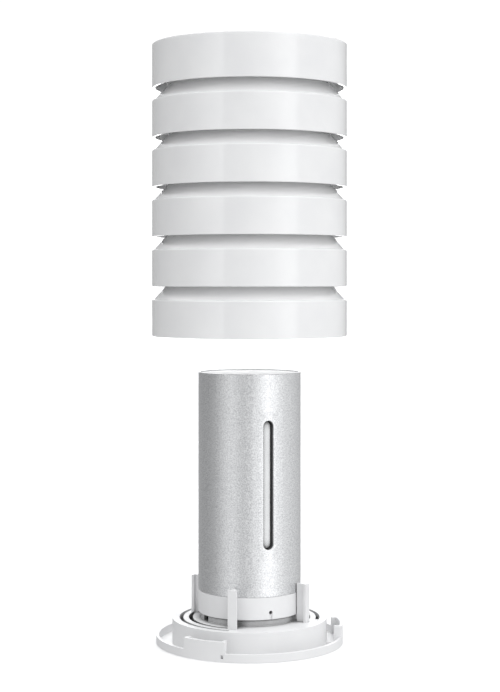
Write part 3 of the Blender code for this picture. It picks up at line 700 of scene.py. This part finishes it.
def build_cap():
    """The top ring with its roof, and the tie bosses under it."""
    top = SHIELD_TOP
    ceiling = top - ROOF_THICKNESS
    outline = [
        (SKIRT_INNER, CAP_FOOT, SKIRT_FOOT_EDGES[0]), (SHIELD_RADIUS, CAP_FOOT, SKIRT_FOOT_EDGES[1]),
        (SHIELD_RADIUS, top - ROOF_CROWN, ROOF_EDGE), (0.0, top, 0.0),
        (0.0, ceiling, 0.0), (SKIRT_INNER, ceiling - CEILING_DROP, CEILING_FILLET)]
    cap = make_object("cap_ring", lathe(outline), FINISHES["shield_white"])
    keep_flat(cap)
    place(cap, "shield", "shield_white", "shield_cap")
    bosses = tie_tubes(CAP_BOSS_BOTTOM, ceiling + OVERLAP)
    tubes = make_object("cap_bosses", bosses, FINISHES["shield_white"])
    place(tubes, "shield", "shield_white")


def build_louvre(number):
    """An upright skirt with a cone that rises inwards from its top, and its tie bosses."""
    foot = LOUVRE_FEET[number]
    top = foot + SKIRT_HEIGHT
    outline = [
        (SKIRT_INNER, foot, SKIRT_FOOT_EDGES[0]), (SHIELD_RADIUS, foot, SKIRT_FOOT_EDGES[1]),
        (SHIELD_RADIUS, top, SKIRT_TOP_EDGE), (SHIELD_RADIUS - SHOULDER, top, SHOULDER_EDGE),
        (CONE_INNER + CONE_TIP[0], top + CONE_RISE, CONE_TIP_EDGE),
        (CONE_INNER, top + CONE_RISE - CONE_TIP[1], CONE_TIP_EDGE),
        (SKIRT_INNER, top - CONE_WALL, CONE_ROOT_FILLET)]
    ring = make_object(f"ring_{number}", lathe(outline), FINISHES["shield_white"])
    keep_flat(ring)
    place(ring, "shield", "shield_white", f"louvre_{number}")
    boss_top = min(foot + TIE_BOSS_BOTTOM + LOUVRE_PITCH, CAP_BOSS_BOTTOM) - FIT_GAP
    tubes = tie_tubes(foot + TIE_BOSS_BOTTOM, boss_top)
    obj = make_object(f"ring_{number}_bosses", tubes, FINISHES["shield_white"])
    place(obj, "shield", "shield_white")


def build_lugs():
    """Three short lugs inside the lowest ring, which snap over the base's rim."""
    bottom = SHIELD_FOOT + LUG_SPAN[0]
    top = SHIELD_FOOT + LUG_SPAN[1]
    blocks = []
    for centre in TIE_ANGLES:
        sides = (centre - LUG_HALF_ANGLE, centre + LUG_HALF_ANGLE)
        blocks.append((LUG_INNER, SKIRT_INNER + OVERLAP, *sides, bottom, top))
    lugs = make_object("snap_lugs", polar_solid(blocks), FINISHES["shield_white"])
    soften(lugs, LUG_EDGE)
    place(lugs, "shield", "shield_white")


def cross_screw(name, head_radius, head_height, shank_radius, length):
    """A pan-head screw with a cross recess, head down, with a turned thread."""
    outline = [
        (0.0, 0.0, 0.0), (head_radius, 0.0, head_height * HEAD_ROUNDING),
        (head_radius, head_height, HEAD_EDGE), (shank_radius, head_height, 0.0)]
    turns = int((length - head_height) / THREAD_PITCH) - 1
    for turn in range(turns):
        level = head_height + (turn + 1) * THREAD_PITCH
        outline.append((shank_radius - THREAD_DEPTH, level - THREAD_PITCH / 2, 0.0))
        outline.append((shank_radius, level, 0.0))
    outline += [(shank_radius * TIP_SHARE, length, 0.0), (0.0, length, 0.0)]
    screw = make_object(name, lathe(outline, SCREW_SEGMENTS), FINISHES["steel"])
    cross = bmesh.new()
    depth = head_height * RECESS_DEPTH
    reach, width = RECESS_SHARES
    for angle in (0.0, QUARTER_TURN):
        turn = Matrix.Rotation(math.radians(angle), 4, "Z")
        size = Matrix.Diagonal((head_radius * reach, head_radius * width, depth * 2, 1.0))
        bmesh.ops.create_cube(cross, size=1.0, matrix=turn @ size)
    tool = make_object(name + "_recess", cross, FINISHES["steel"])
    cut = screw.modifiers.new("recess", "BOOLEAN")
    cut.operation = "DIFFERENCE"
    cut.use_self = True
    cut.object = tool
    apply_modifiers(screw)
    bpy.data.objects.remove(tool, do_unlink=True)
    return screw


def apply_modifiers(obj):
    """Keeps the evaluated mesh and drops the modifiers."""
    bpy.context.view_layer.update()
    evaluated = obj.evaluated_get(bpy.context.evaluated_depsgraph_get())
    mesh = bpy.data.meshes.new_from_object(evaluated)
    obj.modifiers.clear()
    obj.data = mesh
    mesh.shade_smooth()
    mesh.set_sharp_from_angle(angle=math.radians(CUT_SHARP_ANGLE))


def build_screw_set(prefix, source, places, body):
    """Copies of one screw, each standing for its CAD node."""
    for number, spot in enumerate(places, 1):
        screw = bpy.data.objects.new(f"{prefix}_{number}_fine", source.data)
        bpy.context.scene.collection.objects.link(screw)
        screw.location = spot
        place(screw, body, "steel", f"{prefix}_{number}")
    bpy.data.objects.remove(source, do_unlink=True)


def build_tie_screws():
    low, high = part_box("tie_screw_1")
    source = cross_screw("tie_source", *TIE_SCREW, high.z - low.z)
    places = [around(TIE_CIRCLE, angle, low.z) for angle in TIE_ANGLES]
    build_screw_set("tie_screw", source, places, "shield")


def build_shield():
    build_cap()
    for number in LOUVRE_FEET:
        build_louvre(number)
    build_lugs()
    build_tie_screws()


# --- Base ------------------------------------------------------------------

def panel_blocks(centre):
    """One upright panel on the rim with an end rib at each side."""
    start = centre - PANEL_HALF_ANGLE
    end = centre + PANEL_HALF_ANGLE
    blocks = [
        (DRUM_OUTER, RIM_INNER, start, end, 0.0, WINDOW_FLOOR),
        (RIM_INNER, RIM_OUTER, start, end, RIM_HEIGHT, PANEL_TOP)]
    for edge in (start, end - GUSSET_ANGLE):
        blocks.append((GUSSET_INNER, RIM_INNER, edge, edge + GUSSET_ANGLE, WINDOW_FLOOR, PANEL_TOP))
    return blocks


def rim_blocks(centre, following):
    """The rim from one panel's small eye to the next panel's, with the eye's surround."""
    eye = (centre + PANEL_EYE[0], centre + PANEL_EYE[1])
    low, high = PANEL_EYE_SPAN
    return [
        (RIM_INNER, RIM_OUTER, eye[1], following + PANEL_EYE[0], 0.0, RIM_HEIGHT),
        (RIM_INNER, RIM_OUTER, *eye, 0.0, low),
        (RIM_INNER, RIM_OUTER, *eye, high, RIM_HEIGHT)]


def build_base_plate():
    """Rim and panels outside, the drum with its inward lip, a floor and the bush's boss."""
    shelf_bottom = DRUM_TOP - SHELF_THICKNESS
    blocks = [
        full_ring(DRUM_INNER, DRUM_OUTER, 0.0, DRUM_TOP),
        full_ring(LIP_INNER, DRUM_INNER, shelf_bottom, DRUM_TOP),
        full_ring(BOSS[1], DRUM_INNER, *FLOOR),
        full_ring(*BOSS, 0.0, BOSS_TOP)]
    next_centres = PANEL_CENTRES[1:] + (PANEL_CENTRES[0] + FULL_TURN,)
    for centre, following in zip(PANEL_CENTRES, next_centres):
        blocks += panel_blocks(centre)
        blocks += rim_blocks(centre, following)
    plate = make_object("base_moulding", polar_solid(blocks), FINISHES["base_white"])
    soften(plate, BASE_EDGE)
    place(plate, "base", "base_white", "base_plate")


def post_blocks(bottom):
    """Four T-section posts, each a flange with a web towards the module."""
    blocks = []
    for angle in POST_ANGLES:
        flange = (angle - POST_FLANGE_HALF_ANGLE, angle + POST_FLANGE_HALF_ANGLE)
        web = (angle - POST_WEB_HALF_ANGLE, angle + POST_WEB_HALF_ANGLE)
        blocks.append((*POST_FLANGE, *flange, bottom, POST_TOP))
        blocks.append((POST_WEB_INNER, POST_FLANGE[0], *web, bottom, POST_TOP))
    return blocks


def build_cradle():
    """The inner part of the base, with deeper painted shade in its gaps; its posts are a piece of
    their own with shallower painted shade.
    """
    floor_top = CRADLE_FLOOR[1]
    deck_bottom = DRUM_TOP - SHELF_THICKNESS
    shelf_start, shelf_end = SHELF_ANGLES
    blocks = [
        full_ring(CRADLE_HOLE, BAFFLE[1], *CRADLE_FLOOR),
        full_ring(CRADLE_HOLE, INNER_WALL[1], deck_bottom, DRUM_TOP),
        full_ring(*INNER_WALL, floor_top, deck_bottom),
        (INNER_WALL[1], SHELF_OUTER, *SHELF_ANGLES, deck_bottom, DRUM_TOP),
        (*BAFFLE, shelf_end, shelf_start + FULL_TURN, floor_top, DRUM_TOP),
        (*SEAT_RING, SEAT_NOTCH[1], SEAT_NOTCH[0] + FULL_TURN, DRUM_TOP, SEAT_TOP)]
    for angle in CRADLE_SCREW_ANGLES:
        sides = (angle - SCREW_POST_HALF_ANGLE, angle + SCREW_POST_HALF_ANGLE)
        blocks.append((*SCREW_POST, *sides, floor_top, deck_bottom))
    cradle = make_object("cradle_moulding", polar_solid(blocks), FINISHES["cradle_white_deep_shade"])
    soften(cradle, CRADLE_EDGE)
    place(cradle, "base", "base_white", "cradle")
    posts = make_object("cradle_posts", polar_solid(post_blocks(floor_top)), FINISHES["base_white"])
    soften(posts, CRADLE_EDGE)
    place(posts, "base", "base_white")


def build_bush():
    """Brass bush with a quarter-inch thread turned as fine rings."""
    low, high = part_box("tripod_insert")
    outline = [(high.x, low.z, BUSH_EDGE), (high.x, high.z, BUSH_EDGE), (BUSH_BORE, high.z, 0.0)]
    turns = int((high.z - low.z - BUSH_PLAIN_LENGTH) / BUSH_PITCH)
    for turn in range(turns):
        level = high.z - BUSH_EDGE - turn * BUSH_PITCH
        outline.append((BUSH_BORE, level, 0.0))
        outline.append((BUSH_BORE + BUSH_THREAD_DEPTH, level - BUSH_PITCH / 2, 0.0))
    outline.append((BUSH_BORE, low.z + BUSH_COUNTERSINK, 0.0))
    outline.append((BUSH_BORE + BUSH_COUNTERSINK, low.z, 0.0))
    bush = make_object("threaded_bush", lathe(outline, BUSH_SEGMENTS), FINISHES["brass"])
    place(bush, "base", "brass", "tripod_insert")


def build_base():
    build_base_plate()
    build_cradle()
    build_bush()
    low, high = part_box("cradle_screw_1")
    source = cross_screw("cradle_source", *CRADLE_SCREW, high.z - low.z)
    places = [around(CRADLE_SCREW_CIRCLE, angle, low.z) for angle in CRADLE_SCREW_ANGLES]
    build_screw_set("cradle_screw", source, places, "base")


# --- Module ----------------------------------------------------------------

def slot_ends():
    """Heights of the centres of the slot's round ends."""
    low = MODULE_FOOT + SLOT_SPAN[0] + SLOT_RADIUS
    high = MODULE_FOOT + SLOT_SPAN[1] - SLOT_RADIUS
    return low, high


def patch_ends():
    """Lower and upper edge of the patch of wall that holds the slot."""
    low, high = slot_ends()
    return low - PATCH_MARGIN, high + PATCH_MARGIN


def patch_border():
    """The patch's edge, as (across, up), with one point for each column and row."""
    bottom, top = patch_ends()
    step = math.tau * MODULE_RADIUS / RING_SEGMENTS
    half = SLOT_COLUMNS * step / 2
    rise = (top - bottom) / SLOT_ROWS
    border = [(-half + step * index, bottom) for index in range(SLOT_COLUMNS)]
    border += [(half, bottom + rise * index) for index in range(SLOT_ROWS)]
    border += [(half - step * index, top) for index in range(SLOT_COLUMNS)]
    border += [(-half, top - rise * index) for index in range(SLOT_ROWS)]
    return border


def slot_loop(bm, radius, depth, aside=0.0):
    """Points at one distance from the slot's middle line, one for each border point."""
    low, high = slot_ends()
    loop = []
    for across, up in patch_border():
        spine = Vector((0.0, min(max(up, low), high)))
        away = (Vector((across, up)) - spine).normalized()
        spot = spine + away * radius + Vector((aside, 0.0))
        loop.append(bm.verts.new(sleeve_point(spot.x, spot.y, depth)))
    return loop


def bridge(bm, loops):
    """Faces between each loop and the next."""
    for outer, inner in zip(loops, loops[1:]):
        for index, corner in enumerate(outer):
            after = (index + 1) % len(outer)
            bm.faces.new((corner, outer[after], inner[after], inner[index]))


def sleeve_point(across, up, depth):
    """A point of the sleeve's wall, from its place on the unrolled patch."""
    angle = SLOT_ANGLE + math.degrees(across / MODULE_RADIUS)
    return around(MODULE_RADIUS - depth, angle, up)


def build_sleeve():
    """A tube whose slot is built into the mesh, with a rounded lip."""
    bm = bmesh.new()
    lip = SLOT_LIP
    offsets = [(SLOT_RADIUS + rim, 0.0) for rim in PATCH_RIMS]
    for index in range(LIP_STEPS + 1):
        turn = math.radians(QUARTER_TURN) * index / LIP_STEPS
        offsets.append((SLOT_RADIUS + lip - lip * math.sin(turn), lip - lip * math.cos(turn)))
    offsets += [(SLOT_RADIUS, SLEEVE_WALL / 2), (SLOT_RADIUS, SLEEVE_WALL)]
    border = patch_border()
    loops = [[bm.verts.new(sleeve_point(x, z, 0.0)) for x, z in border]]
    loops += [slot_loop(bm, radius, depth) for radius, depth in offsets]
    loops.append([bm.verts.new(sleeve_point(x, z, SLEEVE_WALL)) for x, z in border])
    bridge(bm, loops)
    add_sleeve_wall(bm)
    bmesh.ops.remove_doubles(bm, verts=bm.verts, dist=WELD_DISTANCE)
    sleeve = make_object("sleeve_tube", bm, FINISHES["sleeve_aluminium"])
    keep_flat(sleeve)
    place(sleeve, "module", "sleeve_aluminium", "sleeve")


def add_band(bm, levels, columns):
    """Upright faces through (radius, height) levels, over some of the columns."""
    span = FULL_TURN / RING_SEGMENTS
    first = SLOT_ANGLE - SLOT_COLUMNS / 2 * span
    for (low_radius, low), (high_radius, high) in zip(levels, levels[1:]):
        for column in columns:
            left = first + span * column
            right = left + span
            corners = ((low_radius, left, low), (low_radius, right, low),
                       (high_radius, right, high), (high_radius, left, high))
            bm.faces.new([bm.verts.new(around(*corner)) for corner in corners])


def add_sleeve_wall(bm):
    """The rest of the tube: outside and bore round the patch, and both ends."""
    foot = MODULE_FOOT + COLLAR_HEIGHT + SEAM
    edge = SLEEVE_EDGE
    bore = MODULE_RADIUS - SLEEVE_WALL
    recess_floor = MODULE_TOP - CAP_RECESS_DEPTH
    bottom, top = patch_ends()
    rows = [bottom + (top - bottom) * row / SLOT_ROWS for row in range(SLOT_ROWS + 1)]
    beside = range(SLOT_COLUMNS, RING_SEGMENTS)
    sides = ((MODULE_RADIUS, foot + edge, MODULE_TOP - edge), (bore, foot, recess_floor))
    for radius, lowest, highest in sides:
        add_band(bm, [(radius, row) for row in rows], beside)
        add_band(bm, [(radius, lowest), (radius, bottom)], range(RING_SEGMENTS))
        add_band(bm, [(radius, top), (radius, highest)], range(RING_SEGMENTS))
    rim = fillet((MODULE_RADIUS, foot), (MODULE_RADIUS, MODULE_TOP), (0.0, MODULE_TOP), edge)
    rim += [(CAP_RECESS_RADIUS, MODULE_TOP), (CAP_RECESS_RADIUS, recess_floor), (bore, recess_floor)]
    under = [(bore, foot)]
    under += fillet((bore, foot), (MODULE_RADIUS, foot), (MODULE_RADIUS, MODULE_TOP), edge)
    for line in (rim, under):
        add_band(bm, line, range(RING_SEGMENTS))


def build_slot_shade_sheet():
    """A thin dark sheet round the slot's wall, between the lip and the light guide, which paints the
    shade that falls on the wall.
    """
    bm = bmesh.new()
    inner = SLOT_RADIUS - SHADE_SHEET_THICKNESS
    corners = ((SLOT_RADIUS, SHADE_SHEET_FRONT), (inner, SHADE_SHEET_FRONT),
               (inner, SHADE_SHEET_BACK), (SLOT_RADIUS, SHADE_SHEET_BACK))
    loops = [slot_loop(bm, radius, depth) for radius, depth in corners]
    bridge(bm, loops + loops[:1])
    shade_sheet = make_object("slot_shade_sheet", bm, FINISHES["rubber"])
    place(shade_sheet, "module", "rubber")


def build_collar():
    """The module's foot: a closed bottom, a spigot inside the sleeve and the keyhole mark."""
    foot = MODULE_FOOT
    top = foot + COLLAR_HEIGHT
    outline = [
        (0.0, foot, 0.0), (MODULE_RADIUS, foot, COLLAR_FOOT_EDGE),
        (MODULE_RADIUS, top, COLLAR_TOP_EDGE), (SPIGOT[1], top, COLLAR_TOP_EDGE),
        (SPIGOT[1], foot + SPIGOT_TOP, SPIGOT_EDGE), (SPIGOT[0], foot + SPIGOT_TOP, SPIGOT_EDGE),
        (SPIGOT[0], foot + COLLAR_FLOOR, COLLAR_FOOT_EDGE), (0.0, foot + COLLAR_FLOOR, 0.0)]
    collar = make_object("foot_collar", lathe(outline), FINISHES["cover_white"])
    for tool in keyhole_tools():
        cut = collar.modifiers.new(tool.name, "BOOLEAN")
        cut.operation = "DIFFERENCE"
        cut.object = tool
        apply_modifiers(collar)
        bpy.data.objects.remove(tool, do_unlink=True)
    keep_flat(collar)
    place(collar, "module", "cover_white", "collar")


def keyhole_tools():
    """Cutters for a small round hole and for the slot from it to the collar's edge."""
    turn = Matrix.Rotation(math.radians(KEYHOLE_ANGLE), 4, "Z")
    lie_down = Matrix.Rotation(math.radians(QUARTER_TURN), 4, "X")
    hole = bmesh.new()
    centre = around(MODULE_RADIUS - KEYHOLE_INSET, KEYHOLE_ANGLE, MODULE_FOOT + KEYHOLE_HEIGHT)
    bmesh.ops.create_cone(
        hole, cap_ends=True, segments=KEYHOLE_SEGMENTS,
        radius1=KEYHOLE_RADIUS, radius2=KEYHOLE_RADIUS, depth=KEYHOLE_DEPTH,
        matrix=Matrix.Translation(centre) @ turn @ lie_down)
    slot = bmesh.new()
    centre = around(MODULE_RADIUS, KEYHOLE_ANGLE, MODULE_FOOT + KEY_SLOT_HEIGHT)
    size = Matrix.Diagonal((*KEY_SLOT_SIZE, 1.0))
    bmesh.ops.create_cube(slot, size=1.0, matrix=Matrix.Translation(centre) @ turn @ size)
    shapes = (("keyhole_round", hole), ("keyhole_slot", slot))
    return [make_object(name, bm, FINISHES["cover_white"]) for name, bm in shapes]


def build_top_cap():
    """The white disc in the sleeve's recess, with a short spigot below it."""
    floor = MODULE_TOP - CAP_RECESS_DEPTH + FIT_GAP
    radius = CAP_RECESS_RADIUS - TOP_DISC_GAPS[0]
    top = MODULE_TOP - TOP_DISC_GAPS[1]
    underside = floor - TOP_DISC_DROPS[0]
    spigot_foot = floor - TOP_DISC_DROPS[1]
    corner_edge, foot_edge, top_edge, inner_edge = TOP_DISC_EDGES
    outline = [
        (0.0, underside, 0.0), (SPIGOT[0], underside, inner_edge),
        (SPIGOT[0], spigot_foot, foot_edge), (SPIGOT[1], spigot_foot, foot_edge),
        (SPIGOT[1], floor, corner_edge), (radius, floor, corner_edge),
        (radius, top, top_edge), (0.0, top, 0.0)]
    cap = make_object("top_disc", lathe(outline), FINISHES["cover_white"])
    keep_flat(cap)
    place(cap, "module", "cover_white", "top_cap")


def build_seals():
    """Two flat rings with rounded edges, a little squeezed."""
    for node in ("collar_seal", "cap_seal"):
        low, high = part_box(node)
        corners = ((SEAL_INNER, low.z), (high.x, low.z), (high.x, high.z), (SEAL_INNER, high.z))
        outline = [(*corner, SEAL_ROUNDING) for corner in corners]
        ring = make_object(node + "_ring", lathe(outline, SEAL_SEGMENTS), FINISHES["rubber"])
        place(ring, "module", "rubber", node)


def build_light_guide():
    """A curved strip behind the slot, with a raised land that stands in the slot."""
    low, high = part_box("light_guide")
    sides = (SLOT_ANGLE - LIGHT_GUIDE_HALF_ANGLE, SLOT_ANGLE + LIGHT_GUIDE_HALF_ANGLE)
    strip = polar_solid([(*LIGHT_GUIDE, *sides, low.z, high.z)])
    guide = make_object("slot_guide", strip, FINISHES["light_guide"])
    soften(guide, GUIDE_EDGE)
    place(guide, "module", "light_guide", "light_guide")
    bm = bmesh.new()
    edge = LAND_EDGE
    radius = SLOT_RADIUS - SLOT_CLEARANCE
    front = MODULE_RADIUS - LIGHT_GUIDE_LAND
    back = MODULE_RADIUS - LIGHT_GUIDE[1]
    loops = [slot_loop(bm, radius, back, LAND_ASIDE)]
    for index in range(LAND_STEPS + 1):
        turn = math.radians(QUARTER_TURN) * index / LAND_STEPS
        inset = edge - edge * math.cos(turn)
        depth = front + edge - edge * math.sin(turn)
        loops.append(slot_loop(bm, radius - inset, depth, LAND_ASIDE))
    loops.append(slot_loop(bm, LAND_CREST, front, LAND_ASIDE))
    bridge(bm, loops)
    for loop in (loops[0], loops[-1]):
        bm.faces.new(loop)
    land = make_object("slot_land", bm, FINISHES["light_guide"])
    place(land, "module", "light_guide")


def build_cells():
    """Two AAA cells with a rolled rim and a button, the second one upside down."""
    low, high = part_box("battery_1")
    radius = (high.x - low.x) / 2
    length = high.z - low.z
    neck = length - CELL_NECK[1]
    button, button_root, button_edge = CELL_BUTTON
    outline = [
        (0.0, 0.0, 0.0), (radius - CELL_FOOT[0], 0.0, CELL_FOOT[1]), (radius, *CELL_HEEL),
        (radius, length - CELL_SHOULDER[0], CELL_SHOULDER[1]),
        (radius - CELL_NECK[0], neck, CELL_NECK[2]), (button, neck, button_root),
        (button, length, button_edge), (0.0, length, 0.0)]
    for number in (1, 2):
        low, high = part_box(f"battery_{number}")
        middle = (low + high) / 2
        cell = make_object(f"cell_{number}", lathe(outline, CELL_SEGMENTS), FINISHES["cell_wrap"])
        flipped = number == 2
        cell.location = (middle.x, middle.y, high.z if flipped else low.z)
        if flipped:
            cell.rotation_euler = (math.pi, 0.0, 0.0)
        place(cell, "module", "cell_wrap", f"battery_{number}")


def build_module():
    build_sleeve()
    build_slot_shade_sheet()
    build_collar()
    build_top_cap()
    build_seals()
    build_light_guide()
    build_cells()


# --- Studio ----------------------------------------------------------------

def build_floor():
    """A pale disc under the base that throws no light, reflection or shadow onto it."""
    finish = Finish("studio_floor", roughness=0.6)
    finish.colour(finish.noise(3.0), dark=(0.9, 0.9, 0.9), light=(0.92, 0.92, 0.92))
    bm = bmesh.new()
    bmesh.ops.create_circle(bm, cap_ends=True, segments=STAGE_SEGMENTS, radius=STAGE_RADIUS)
    floor = make_object("studio_floor", bm, finish.mat)
    floor.location.z = -STAGE_DROP
    floor.visible_diffuse = False
    floor.visible_glossy = False
    floor.visible_shadow = False


def mathematics(tree, operation, first, second=None):
    """One step of arithmetic on sockets or numbers."""
    node = tree.nodes.new("ShaderNodeMath")
    node.operation = operation
    for index, value in enumerate((first, second)):
        if value is None:
            continue
        if isinstance(value, (int, float)):
            node.inputs[index].default_value = value
        else:
            tree.links.new(value, node.inputs[index])
    return node.outputs["Value"]


def build_world():
    """White behind everything; round the object a studio whose walls differ in brightness.

    The walls' colour ramp runs once round the axis, from azimuth -180 at 0 to 180 at 1.
    """
    world = bpy.data.worlds.new("studio_world")
    world.use_nodes = True
    tree = world.node_tree
    coords = tree.nodes.new("ShaderNodeTexCoord")
    axes = tree.nodes.new("ShaderNodeSeparateXYZ")
    tree.links.new(coords.outputs["Generated"], axes.inputs["Vector"])
    forward = mathematics(tree, "MULTIPLY", axes.outputs["Y"], -1.0)
    azimuth = mathematics(tree, "ARCTAN2", axes.outputs["X"], forward)
    turn = mathematics(tree, "ADD", mathematics(tree, "DIVIDE", azimuth, math.tau), 0.5)
    walls = tree.nodes.new("ShaderNodeValToRGB")
    elements = walls.color_ramp.elements
    for index, (angle, light) in enumerate(WALL_LIGHT):
        position = angle / FULL_TURN + 0.5
        element = elements[index] if index < 2 else elements.new(position)
        element.position = position
        shade = light / BRIGHTEST_WALL
        element.color = (shade, shade, shade, 1.0)
    tree.links.new(turn, walls.inputs["Fac"])
    wall = mathematics(tree, "MULTIPLY", walls.outputs["Color"], BRIGHTEST_WALL)
    upward = axes.outputs["Z"]
    wall = blend_light(tree, wall, CEILING_LIGHT, upward, *CEILING_BLEND)
    downward = mathematics(tree, "MULTIPLY", upward, -1.0)
    wall = blend_light(tree, wall, GROUND_LIGHT, downward, *GROUND_BLEND)
    light = tree.nodes["Background"]
    light.inputs["Color"].default_value = LIGHT_TINT
    tree.links.new(wall, light.inputs["Strength"])
    shown = tree.nodes.new("ShaderNodeBackground")
    shown.inputs["Color"].default_value = (1.0, 1.0, 1.0, 1.0)
    shown.inputs["Strength"].default_value = BACKDROP_STRENGTH
    path = tree.nodes.new("ShaderNodeLightPath")
    mix = tree.nodes.new("ShaderNodeMixShader")
    tree.links.new(path.outputs["Is Camera Ray"], mix.inputs["Fac"])
    tree.links.new(light.outputs["Background"], mix.inputs[1])
    tree.links.new(shown.outputs["Background"], mix.inputs[2])
    tree.links.new(mix.outputs["Shader"], tree.nodes["World Output"].inputs["Surface"])
    bpy.context.scene.world = world


def blend_light(tree, wall, light, height, low, high):
    """Goes from the wall's light to another as height rises from low to high."""
    share = tree.nodes.new("ShaderNodeMapRange")
    share.interpolation_type = "SMOOTHSTEP"
    share.inputs["From Min"].default_value = low
    share.inputs["From Max"].default_value = high
    tree.links.new(height, share.inputs["Value"])
    change = mathematics(tree, "SUBTRACT", light, wall)
    step = mathematics(tree, "MULTIPLY", change, share.outputs["Result"])
    return mathematics(tree, "ADD", wall, step)


def build_camera():
    """A long lens, level with the shield's lower half, shifted down to take in the base."""
    camera = bpy.data.cameras.new("camera")
    camera.sensor_width = SENSOR_WIDTH
    camera.sensor_fit = "AUTO"
    camera.lens = LENS
    camera.shift_y = LENS_SHIFT
    camera.clip_start, camera.clip_end = CLIP_RANGE
    obj = bpy.data.objects.new("camera", camera)
    bpy.context.scene.collection.objects.link(obj)
    obj.location = CAMERA_PLACE
    obj.rotation_euler = (math.pi / 2, 0.0, 0.0)
    bpy.context.scene.camera = obj


build_camera()
bpy.context.scene.view_settings.view_transform = "Standard"
refinish_cad_nodes()
build_base()
build_module()
build_shield()
build_floor()
build_world()
